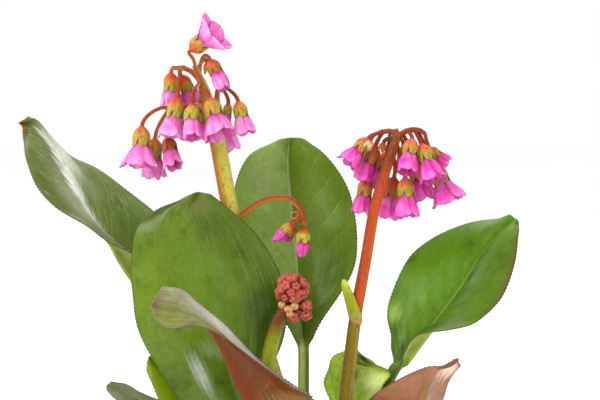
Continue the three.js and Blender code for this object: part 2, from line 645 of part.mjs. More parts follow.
// A small leaf that clasps the right stem
function bractBody() {
  const across = new THREE.Vector3(0.9, -0.35, 0.1).normalize();
  const out = new THREE.Vector3(-0.25, -0.95, 0);
  const ridge = 0.9;
  const hollow = 0.4;
  const rows = [
    { middle: [29.6, -8.3, 190], half: 2.4 },
    { middle: [28.2, -9.3, 197], half: 3.2 },
    { middle: [26.3, -9.6, 204], half: 2.8 },
    { middle: [24.3, -9.4, 211], half: 1.1 },
  ];
  return skin(rows.map(({ middle, half }) => {
    const centre = at(middle);
    return [
      centre.clone().addScaledVector(across, -half),
      centre.clone().addScaledVector(out, ridge),
      centre.clone().addScaledVector(across, half),
      centre.clone().addScaledVector(out, -hollow),
    ];
  }));
}

const budHead = {
  centre: [-4.2, -28, 208.8], radius: 6.9, coreRadius: 6.2, coreSides: 7, coreBands: 4,
  buds: 20, budRadius: 2.6, budSides: 5,
};
const budProfile = { root: -1, belly: -0.35, cheek: 0.55, cheekWidth: 0.85, tip: 1.05 };
const looseBuds = {
  spots: [[-3.6, -28, 193.6], [3.2, -27, 195], [3.6, -29, 200.2], [0, -24.5, 196.5]],
  fork: [-7, -28, 200], stalkRadii: [1.6, 1.4], budRadius: 3.1,
};

// One closed bud: a five-sided drop that points away from the head's middle
function budBody(centre, axis, radius) {
  const side = new THREE.Vector3(0.3, 0.2, 0.9);
  const angles = evenAngles(budHead.budSides);
  const spot = (along) => centre.clone().addScaledVector(axis, along * radius);
  return skin([
    [spot(budProfile.root)],
    ringAround(spot(budProfile.belly), axis, side, radius, angles),
    ringAround(spot(budProfile.cheek), axis, side, radius * budProfile.cheekWidth, angles),
    [spot(budProfile.tip)],
  ]);
}

function budHeadBodies() {
  const centre = at(budHead.centre);
  const goldenTurn = Math.PI * (3 - Math.sqrt(5));
  const coreRadii = [budHead.coreRadius, budHead.coreRadius, budHead.coreRadius];
  const bodies = [skin(ellipsoidRings(budHead.centre, coreRadii, budHead.coreSides, budHead.coreBands))];
  for (let k = 0; k < budHead.buds; k += 1) {
    const height = 1 - (2 * (k + 0.5)) / budHead.buds;
    const wide = Math.sqrt(1 - height * height);
    const turn = k * goldenTurn;
    const axis = new THREE.Vector3(wide * Math.cos(turn), wide * Math.sin(turn), height);
    const spot = centre.clone().addScaledVector(axis, budHead.radius);
    bodies.push(budBody(spot, axis, budHead.budRadius));
  }
  for (const spot of looseBuds.spots) {
    const away = at(spot).sub(centre).normalize();
    bodies.push(budBody(at(spot), away, looseBuds.budRadius));
    bodies.push(skin(stemRings({ steps: 2, path: [looseBuds.fork, spot], radii: looseBuds.stalkRadii })));
  }
  return bodies;
}

// Pot, soil and rhizome

function ellipsoidRings(centre, radii, sides, bands, extra = 0) {
  const rings = [];
  for (let k = 0; k <= bands; k += 1) {
    const tilt = (Math.PI * k) / bands - Math.PI / 2;
    const wide = Math.cos(tilt);
    const height = centre[2] + (radii[2] + extra) * Math.sin(tilt);
    const ring = evenAngles(sides).map((angle) => new THREE.Vector3(
      centre[0] + (radii[0] + extra) * wide * Math.cos(angle),
      centre[1] + (radii[1] + extra) * wide * Math.sin(angle),
      height));
    rings.push(k === 0 || k === bands ? [new THREE.Vector3(centre[0], centre[1], height)] : ring);
  }
  return rings;
}

const roundRing = (radius, height) => evenAngles(potSides).map(
  (angle) => new THREE.Vector3(radius * Math.cos(angle), radius * Math.sin(angle), height));

function potSolid() {
  const wallTop = potRimRadius - rimCollarStep;
  const body = skin([
    [new THREE.Vector3(0, 0, 0)],
    roundRing(potBaseRadius - baseBevel, 0),
    roundRing(potBaseRadius, baseBevel),
    roundRing(wallTop - collarDraft, collarBottom - collarLedge),
    roundRing(potRimRadius - collarDraft, collarBottom),
    roundRing(potRimRadius, potHeight - rimBevel),
    roundRing(potRimRadius - rimBevel, potHeight),
    roundRing(potRimRadius - potWall, potHeight),
    roundRing(wallTop - potWall, innerShoulder),
    roundRing(potBaseRadius - potWall, potFloor),
    [new THREE.Vector3(0, 0, potFloor)],
  ]);
  const holes = evenAngles(drainHoleCount).map((angle) => {
    const centre = new THREE.Vector3(drainHoleRing * Math.cos(angle), drainHoleRing * Math.sin(angle), 0);
    const up = new THREE.Vector3(0, 0, 1);
    const side = new THREE.Vector3(1, 0, 0);
    const corners = evenAngles(drainHoleSides);
    return skin([
      ringAround(centre.clone().setZ(-1), up, side, drainHoleRadius, corners),
      ringAround(centre.clone().setZ(potFloor + 1), up, side, drainHoleRadius, corners),
    ]);
  });
  return without(solid(body), holes);
}

// The soil's surface is uneven by about a millimetre, in broad low waves.
function soilRing(radius) {
  return roundRing(radius, soilTop).map((p) => {
    const broad = Math.sin(soilWave.broadX * p.x + 1) * Math.cos(soilWave.broadY * p.y);
    const fine = Math.sin(soilWave.fineX * p.x - soilWave.fineY * p.y);
    return p.setZ(soilTop + soilWave.height * (broad + soilWave.fineShare * fine));
  });
}

const knobSides = 9;
const knobBands = 5;
const rhizomeKnobs = [
  { centre: [-24, -6, soilTop - 2], radii: [16, 17, 11] },
  { centre: [-2, 2, soilTop - 2], radii: [15, 13, 10] },
  { centre: [4, 15, soilTop - 3], radii: [11, 11, 9] },
  { centre: [27, 3, soilTop - 2], radii: [17, 18, 11] },
  { centre: [-12, -24, soilTop - 2], radii: [14, 12, 10] },
  { centre: [-26, 12, soilTop - 3], radii: [10, 10, 9] },
];

function soilBody() {
  const inset = potWall + clearance;
  const collarSlope = (rimCollarStep * (soilTop - innerShoulder)) / (potHeight - innerShoulder);
  const topRadius = potRimRadius - rimCollarStep - inset + collarSlope;
  const edgeDraft = 0.2;
  const middleRing = 0.72;
  const innerRing = 0.4;
  return skin([
    roundRing(potBaseRadius - inset, potFloor + clearance),
    roundRing(potRimRadius - rimCollarStep - inset, innerShoulder),
    soilRing(topRadius - edgeDraft),
    soilRing(topRadius * middleRing),
    soilRing(topRadius * innerRing),
    [new THREE.Vector3(0, 0, soilTop)],
  ]);
}

// The lower part of a stalk or a stem, made wider all round: the plain hole that it stands in
const holeBody = (rings) => skin(rings.filter((ring) => ring[0].z < holeTop));

const holeColumns = 4;
const plainHoles = [
  ...leaves.map((leaf) => holeBody(stalkRings(leaf, holeColumns, clearance + stalkHoleSlack))),
  ...[leftStem, rightStem, budStem].map((stem) => holeBody(stemRings(stem, clearance))),
];

place('pot', potSolid(), 0x2b2b2b, 0.55);

function knobBody({ centre, radii }, extra) {
  return skin(ellipsoidRings(centre, radii, knobSides, knobBands, extra));
}

const knobHollows = rhizomeKnobs.map((knob) => knobBody(knob, clearance + knobHollowSlack));
place('soil', without(solid(soilBody()), [...knobHollows, ...plainHoles]), 0x3a2a20, 1);
place('rhizome', without(joined(rhizomeKnobs.map((knob) => knobBody(knob, 0))), plainHoles), 0x6b4a35, 0.9);

for (const leaf of leaves) {
  place(leaf.name, leafBody(leaf), leaf.colour, 0.5);
}

place('flower_stem_left', joined([
  skin(stemRings(leftStem)),
  ...leftBranches.map((branch) => skin(stemRings(branch))),
  ...[...leftFlowers, ...sideBuds, ...leftCalyces].map(stalkAndCalyx),
]), 0xb58a45, 0.5);

place('flower_stem_right', joined([
  skin(stemRings(rightStem)),
  ...rightBranches.map((branch) => skin(stemRings(branch))),
  ...[...rightFlowers, ...rightCalyces].map(stalkAndCalyx),
  bractBody(),
]), 0xb0603a, 0.5);

place('bud_stem', joined([skin(stemRings(budStem)), ...budHeadBodies()]), 0xb0503c, 0.6);

const twoDigits = (number) => String(number).padStart(2, '0');
leftFlowers.forEach((flower, i) => {
  place(`corolla_left_${twoDigits(i + 1)}`, corollaBody(flower), 0xf29ad2, 0.5);
});
rightFlowers.forEach((flower, i) => {
  place(`corolla_right_${twoDigits(i + 1)}`, corollaBody(flower), 0xe650b0, 0.5);
});
sideBuds.forEach((flower, i) => {
  place(`corolla_side_${twoDigits(i + 1)}`, corollaBody(flower), 0xe050b8, 0.5);
});

export default plant;
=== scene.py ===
import bpy
import math
import numpy as np
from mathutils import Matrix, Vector, noise


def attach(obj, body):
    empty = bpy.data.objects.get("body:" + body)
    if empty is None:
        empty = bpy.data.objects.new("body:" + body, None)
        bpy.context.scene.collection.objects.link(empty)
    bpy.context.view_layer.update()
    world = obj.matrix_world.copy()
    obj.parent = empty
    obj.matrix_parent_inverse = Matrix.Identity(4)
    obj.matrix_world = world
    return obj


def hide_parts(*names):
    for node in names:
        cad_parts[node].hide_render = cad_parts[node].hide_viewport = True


# A potted purple bergenia in flower. Sizes are in millimetres here and become metres in each mesh.
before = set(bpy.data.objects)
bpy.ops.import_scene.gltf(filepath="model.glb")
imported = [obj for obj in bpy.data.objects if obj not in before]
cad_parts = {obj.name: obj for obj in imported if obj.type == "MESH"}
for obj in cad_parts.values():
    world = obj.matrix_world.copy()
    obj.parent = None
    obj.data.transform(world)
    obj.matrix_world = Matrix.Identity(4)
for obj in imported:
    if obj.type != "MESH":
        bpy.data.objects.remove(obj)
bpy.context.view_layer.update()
millimetre = 0.001
fullTurn = 2 * math.pi
soilTop = 96.0
footBottom = soilTop - 3  # where stalks and stems start
footTop = soilTop + 11
lobeTurns = 2.5  # |cos(2.5 angle)| has five lobes


# Small helpers for numbers and curves

def mix(a, b, t):
    return a + (b - a) * t


def smooth(t, low, high):
    s = np.clip((np.asarray(t, float) - low) / (high - low), 0, 1)
    return s * s * (3 - 2 * s)


def unit(v):
    return v / np.maximum(np.linalg.norm(v, axis=-1, keepdims=True), 1e-9)


def turns(count):  # angles that go round once
    return np.linspace(0, fullTurn, count, endpoint=False)


def alongCurve(points, t):  # a smooth curve through the points, t from 0 to 1
    p = np.asarray(points, float)
    q = np.vstack([2 * p[0] - p[1], p, 2 * p[-1] - p[-2]])
    spot = np.clip(np.asarray(t, float), 0, 1) * (len(p) - 1)
    k = np.minimum(spot.astype(int), len(p) - 2)
    w = (spot - k)[..., None]
    a, b, c, d = q[k], q[k + 1], q[k + 2], q[k + 3]
    m, n = (c - a) / 2, (d - b) / 2
    return (2 * b - 2 * c + m + n) * w ** 3 + (3 * c - 3 * b - 2 * m - n) * w ** 2 + m * w + b


def curveDirection(points, t):
    return unit(alongCurve(points, np.asarray(t) + 2e-3) - alongCurve(points, np.asarray(t) - 2e-3))


def lengths(curve, t):  # the lengths of the curve's steps between these values of t
    return np.linalg.norm(np.diff(alongCurve(curve, t), axis=0), axis=1)


def evenSpots(curves, count):  # values of t that lie equally far apart along the curves
    t = np.linspace(0, 1, 500)
    reached = np.concatenate([[0], np.cumsum(sum(lengths(c, t) for c in curves))])
    return np.interp(np.linspace(0, reached[-1], count), reached, t)


def colour(r, g, b, share=0.55):  # a screen colour, 0 to 255, as the base colour that looks so in this light
    c = np.array([r, g, b], float) / 255
    return np.append(np.where(c <= 0.04045, c / 12.92, ((c + 0.055) / 1.055) ** 2.4) * share, 1.0)


def painted(look):  # the look with each screen colour, three or four numbers, turned into a base colour
    return {key: colour(*value) if isinstance(value, tuple) and len(value) > 2 else value
            for key, value in look.items()}


def wobble(points, size, seed=0.0):  # smooth noise from -1 to 1 at each point
    return np.array([noise.noise(Vector(p) / size + Vector((seed, 3.7 * seed, 0))) for p in points])


def roughness(points, layers):  # noise of several sizes, each layer with its size, seed and height
    return sum(wobble(points, size, seed) * height for size, seed, height in layers)


# Meshes made of rings

def ovalRings(rows, sides, squash=(1, 1, 1)):  # level rings, one for each radius and height
    angle = turns(sides)
    return np.array([np.stack([np.cos(angle) * r * squash[0], np.sin(angle) * r * squash[1],
                               0 * angle + z * squash[2]], axis=1) for r, z in rows])


def ballRings(rows, sides, radii):
    return ovalRings([(math.cos(t), math.sin(t)) for t in np.linspace(-1.5, 1.5, rows)], sides, radii)


def ringFaces(rings, around, ends="strips"):  # ends are closed by strips, by one plate each or left open
    faces = [(a + i, a + (i + 1) % around, a + around + (i + 1) % around, a + around + i)
             for a in range(0, (rings - 1) * around, around) for i in range(around)]
    last = (rings - 1) * around
    if ends == "plates":
        faces += [tuple(range(around))[::-1], tuple(range(last, last + around))]
    if ends == "strips":
        for i in range(around // 2 - 1):
            j = around - 1 - i
            faces += [(i, j, j - 1, i + 1), (last + i, last + i + 1, last + j - 1, last + j)]
        if around % 2:  # the one triangle that is left in the middle
            i = around // 2
            faces += [(i - 1, i + 1, i), (last + i - 1, last + i, last + i + 1)]
    return faces


def faceOutwards(points, faces):  # turns a closed shape right side out
    p = np.asarray(points)
    volume = sum(np.dot(p[f[0]], np.cross(p[f[k]], p[f[k + 1]])) for f in faces for k in range(1, len(f) - 1))
    return faces if volume > 0 else [tuple(reversed(f)) for f in faces]


def linkObject(name, data):
    made = bpy.data.objects.new(name, data)
    bpy.context.scene.collection.objects.link(made)
    return made


def dropObject(thing):
    bpy.data.objects.remove(thing, do_unlink=True)


layerKinds = {"FLOAT": "value", "FLOAT_VECTOR": "vector", "FLOAT_COLOR": "color"}


def addLayer(mesh, name, values, kind="FLOAT"):
    layer = mesh.attributes.get(name) or mesh.attributes.new(name, kind, "POINT")
    layer.data.foreach_set(layerKinds[kind], np.asarray(values, np.float32).ravel())


def makeObject(name, points, faces, material=None, floats=None, maps=None, tints=None):
    mesh = bpy.data.meshes.new(name)
    mesh.from_pydata((np.reshape(points, (-1, 3)) * millimetre).tolist(), [], faces)
    for key, values in (floats or {}).items():
        addLayer(mesh, key, values)
    if tints is not None:
        addLayer(mesh, "tint", tints, "FLOAT_COLOR")
    if maps is not None:
        corner = np.empty(len(mesh.loops), np.int32)
        mesh.loops.foreach_get("vertex_index", corner)
        layer = mesh.uv_layers.new(name="leafMap")
        layer.data.foreach_set("uv", np.asarray(maps, np.float32).reshape(-1, 2)[corner].ravel())
    if material:
        mesh.polygons.foreach_set("use_smooth", np.ones(len(mesh.polygons), bool))
        mesh.materials.append(material)
    mesh.update()
    return linkObject(name, mesh)


class Parts:  # gathers several closed shapes, each made of rings, for one mesh
    def __init__(self):
        self.points, self.faces, self.tints, self.values, self.maps = [], [], [], [], []
        self.count = 0

    def add(self, rings, faces=None, tints=None, values=None, maps=None):
        points = np.reshape(rings, (-1, 3))
        faces = faces or faceOutwards(points, ringFaces(*rings.shape[:2]))
        self.points.append(points)
        self.faces += [tuple(i + self.count for i in f) for f in faces]
        self.count += len(points)
        for kept, given, width in ((self.tints, tints, 4), (self.values, values, 1), (self.maps, maps, 2)):
            if given is not None:
                kept.append(np.reshape(given, (-1, width)))

    def make(self, name, material):
        tints, values, maps = (np.vstack(kept) if kept else None
                               for kept in (self.tints, self.values, self.maps))
        return makeObject(name, np.vstack(self.points), self.faces, material,
                          None if values is None else {"tone": values}, maps, tints)


def stands(piece, slot, *nodes):  # the piece rides on the pot and stands for these solids
    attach(piece, "root")
    if nodes:
        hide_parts(*nodes)
    return piece


def readMesh(mesh):  # points in millimetres, faces and normals of a finished mesh
    points, normals = np.empty((2, len(mesh.vertices) * 3))
    mesh.vertices.foreach_get("co", points)
    mesh.vertices.foreach_get("normal", normals)
    faces = [tuple(face.vertices) for face in mesh.polygons]
    return points.reshape(-1, 3) / millimetre, faces, normals.reshape(-1, 3)


def keptMesh(thing, modifier):  # what the modifier makes of the object, as a plain mesh
    bpy.context.view_layer.update()
    mesh = bpy.data.meshes.new_from_object(thing.evaluated_get(bpy.context.evaluated_depsgraph_get()))
    thing.modifiers.remove(modifier)
    return mesh


# Building shader and geometry node trees

def setInputs(tree, node, values):
    for key, value in values.items():
        if isinstance(key, int):
            socket = node.inputs[key]
        else:
            socket = next(s for s in node.inputs if s.identifier == key or s.name == key and s.enabled)
        if isinstance(value, Value):
            tree.links.new(value.socket, socket)
        else:
            socket.default_value = value.tolist() if isinstance(value, np.ndarray) else value


class Value:  # what one socket of a node gives, so that sums can be written as sums
    def __init__(self, tree, socket):
        self.tree, self.socket = tree, socket

    def math(self, operation, *terms, clamp=False):
        return self.node("ShaderNodeMath", dict(enumerate((self, *terms))),
                         operation=operation, use_clamp=clamp)

    def node(self, kind, values=None, out=0, **settings):
        return addNode(self.tree, kind, values, out, **settings)

    def __add__(self, other):
        return self.math("ADD", other)

    def __sub__(self, other):
        return self.math("SUBTRACT", other)

    def __mul__(self, other):
        return self.math("MULTIPLY", other)

    def __truediv__(self, other):
        return self.math("DIVIDE", other)

    def __pow__(self, other):
        return self.math("POWER", other)

    def __abs__(self):
        return self.math("ABSOLUTE")

    def largest(self, other):
        return self.math("MAXIMUM", other)

    def ease(self, low, high, start=0.0, end=1.0):
        return self.node("ShaderNodeMapRange", {0: self, 1: low, 2: high, 3: start, 4: end},
                         interpolation_type="SMOOTHSTEP")

    def part(self, axis):  # 0, 1 or 2 for x, y or z
        return self.node("ShaderNodeSeparateXYZ", {0: self}, axis)

    def beside(self, other):  # this as x and the other as y of one place
        return self.node("ShaderNodeCombineXYZ", {0: self, 1: other})

    def noise(self, scale, detail=3.0, rough=0.5):
        return self.node("ShaderNodeTexNoise",
                         {"Vector": self, "Scale": scale, "Detail": detail, "Roughness": rough})


def addNode(tree, kind, values=None, out=0, **settings):
    made = tree.nodes.new(kind)
    for key, value in settings.items():
        setattr(made, key, value)
    setInputs(tree, made, values or {})
    return Value(tree, made.outputs[out])


def blend(amount, first, second, way="MIX"):
    return amount.node("ShaderNodeMix", {0: amount, 6: first, 7: second}, 2, data_type="RGBA", blend_type=way)


class Skin:  # a material in the making
    def __init__(self, name):
        self.material = bpy.data.materials.new(name)
        self.material.use_nodes = True
        self.tree = self.material.node_tree
        self.where = self.node("ShaderNodeTexCoord", out="Object")

    def node(self, kind, values=None, out=0, **settings):
        return addNode(self.tree, kind, values, out, **settings)

    def noise(self, *shape):
        return self.where.noise(*shape)

    def layer(self, name, out="Fac"):  # what is stored on the mesh under this name
        return self.node("ShaderNodeAttribute", out=out, attribute_name=name)

    def spot(self):  # the two numbers of the piece's own map
        flat = self.node("ShaderNodeUVMap", uv_map="leafMap")
        return flat.part(0), flat.part(1)

    def finish(self, tint, rough, relief=None, depth=0.0, strength=1.0, **shader):
        values = {"Base Color": tint, "Roughness": rough}
        if relief:
            values["Normal"] = self.node("ShaderNodeBump",
                                         {"Height": relief, "Distance": depth, "Strength": strength})
        names = {"coat": "Coat Weight", "coatRough": "Coat Roughness", "shine": "Specular IOR Level",
                 "shineTint": "Specular Tint", "glow": "Subsurface Weight", "glowRadius": "Subsurface Radius",
                 "glowScale": "Subsurface Scale"}
        values.update({names[key]: value for key, value in shader.items()})
        setInputs(self.tree, self.tree.nodes["Principled BSDF"], values)
        return self.material


def fleshMaterial(name, look):  # stems, flower cups and buds: the tint is painted on the mesh
    skin = Skin(name)
    look = painted(look)
    drawnOut = skin.node("ShaderNodeMapping", {0: skin.where, "Scale": (1.0, 1.0, look["streakStretch"])})
    streak = drawnOut.noise(look["streakScale"])
    dots = skin.noise(look["dotScale"], 2.0, 0.6)
    mottle = skin.noise(look["mottleScale"], 3.0, 0.6)
    tint = skin.layer("tint", "Color")
    tint = blend(streak.ease(0.35, 0.7, 0.0, look["streak"]), tint, look["streakColour"])
    tint = blend(mottle.ease(0.52, 0.7, 0.0, look["mottle"]), tint, look["mottleColour"])
    tint = blend(dots.ease(0.58, 0.72, 0.0, look["dots"]), tint, look["dotColour"])
    return skin.finish(tint, dots.ease(0.3, 0.7, *look["gloss"]), streak + dots, look["relief"], 0.6,
                       coat=look["coat"], coatRough=0.3, shine=0.22, shineTint=(1.0, 0.75, 0.45, 1.0),
                       glow=0.12, glowRadius=(1.0, 0.45, 0.2), glowScale=0.002)


def earthyMaterial(name, look):  # compost, bark, perlite, rhizome
    skin = Skin(name)
    look = painted(look)
    broad = skin.noise(look["patchScale"], 4.0, 0.6)
    grain = skin.noise(look["grainScale"], 5.0, 0.65)
    tint = blend(broad.ease(0.35, 0.65), look["dark"], look["light"])
    tint = blend(grain.ease(0.55, 0.75, 0.0, 0.6), tint, look["fleck"])
    if "toneStrength" in look:
        tint = blend(skin.layer("tone") * look["toneStrength"], tint, look["toneColour"])
    return skin.finish(tint, grain.ease(0.3, 0.7, *look["rough"]), grain + broad, look["depth"], 0.8)


def startTree(name, **sizes):  # a geometry tree and its inputs by name
    tree = bpy.data.node_groups.new(name, "GeometryNodeTree")
    tree.interface.new_socket("Geometry", in_out="INPUT", socket_type="NodeSocketGeometry")
    tree.interface.new_socket("Geometry", in_out="OUTPUT", socket_type="NodeSocketGeometry")
    for label, kind in sizes.items():
        tree.interface.new_socket(label, in_out="INPUT", socket_type="NodeSocket" + kind)
    return tree, {socket.name: Value(tree, socket) for socket in tree.nodes.new("NodeGroupInput").outputs}


def endTree(geometry, material):
    real = geometry.node("GeometryNodeRealizeInstances", {"Geometry": geometry})
    rounded = real.node("GeometryNodeSetShadeSmooth", {"Geometry": real})
    last = rounded.node("GeometryNodeSetMaterial", {"Geometry": rounded, "Material": material})
    last.tree.links.new(last.socket, last.tree.nodes.new("NodeGroupOutput").inputs[0])
    return last.tree


def runTree(name, carrier, tree, **inputs):  # evaluates the tree once and keeps a plain mesh
    modifier = carrier.modifiers.new(name, "NODES")
    modifier.node_group = tree
    for item in tree.interface.items_tree:
        if item.in_out == "INPUT" and item.name in inputs:
            modifier[item.identifier] = inputs[item.name]
    mesh = keptMesh(carrier, modifier)
    mesh.name = name
    return mesh


def sweepTree(material):  # a round stem along each path, with its own thickness at each point
    tree, given = startTree("stemSweep", Sides="Int", Girth="Float")
    circle = addNode(tree, "GeometryNodeCurvePrimitiveCircle",
                     {"Resolution": given["Sides"], "Radius": given["Girth"]}, mode="RADIUS")
    tube = addNode(tree, "GeometryNodeCurveToMesh",
                   {"Curve": given["Geometry"], "Profile Curve": circle,
                    "Scale": addNode(tree, "GeometryNodeInputRadius"), "Fill Caps": True})
    return endTree(tube, material)


def chance(tree, seed):  # a random number from 0 to 1 for each point or copy
    return addNode(tree, "FunctionNodeRandomValue", {"Min_001": 0.0, "Max_001": 1.0, "Seed": seed}, 1,
                   data_type="FLOAT")


def scatterTree(name, material):  # small shapes strewn on a surface
    tree, given = startTree(name, Shape="Object", Density="Float", Smallest="Float", Largest="Float",
                            Seed="Int")
    surface = {"Mesh": given["Geometry"], "Density": given["Density"], "Seed": given["Seed"]}
    spots = addNode(tree, "GeometryNodeDistributePointsOnFaces", surface, "Points")
    upright = Value(tree, spots.socket.node.outputs["Rotation"])
    scale = given["Smallest"] + chance(tree, 5) * (given["Largest"] - given["Smallest"])
    shape = addNode(tree, "GeometryNodeObjectInfo", {"Object": given["Shape"]}, "Geometry")
    copies = addNode(tree, "GeometryNodeInstanceOnPoints",
                     {"Points": spots, "Instance": shape, "Rotation": upright, "Scale": scale})
    tilts = addNode(tree, "FunctionNodeRandomValue", {0: (0, 0, 0), 1: (0.7, 0.7, 6.28), "Seed": 9},
                    data_type="FLOAT_VECTOR")
    spin = addNode(tree, "FunctionNodeEulerToRotation", {0: tilts})
    turned = addNode(tree, "GeometryNodeRotateInstances", {"Instances": copies, "Rotation": spin})
    kept = addNode(tree, "GeometryNodeStoreNamedAttribute",
                   {"Geometry": turned, "Name": "tone", "Value": chance(tree, 13)},
                   data_type="FLOAT", domain="INSTANCE")
    return endTree(kept, material)


def aimedTree(name, material):  # one shape at each point, turned along the point's own direction
    tree, given = startTree(name, Shape="Object", Size="Float")
    aim = addNode(tree, "GeometryNodeInputNamedAttribute", {"Name": "aim"}, data_type="FLOAT_VECTOR")
    turn = addNode(tree, "FunctionNodeAlignRotationToVector", {"Vector": aim}, axis="Z")
    shape = addNode(tree, "GeometryNodeObjectInfo", {"Object": given["Shape"]}, "Geometry")
    grow = addNode(tree, "GeometryNodeInputNamedAttribute", {"Name": "grow"}, data_type="FLOAT")
    copies = addNode(tree, "GeometryNodeInstanceOnPoints",
                     {"Points": given["Geometry"], "Instance": shape, "Rotation": turn,
                      "Scale": grow * given["Size"]})
    return endTree(copies, material)


# Leaves

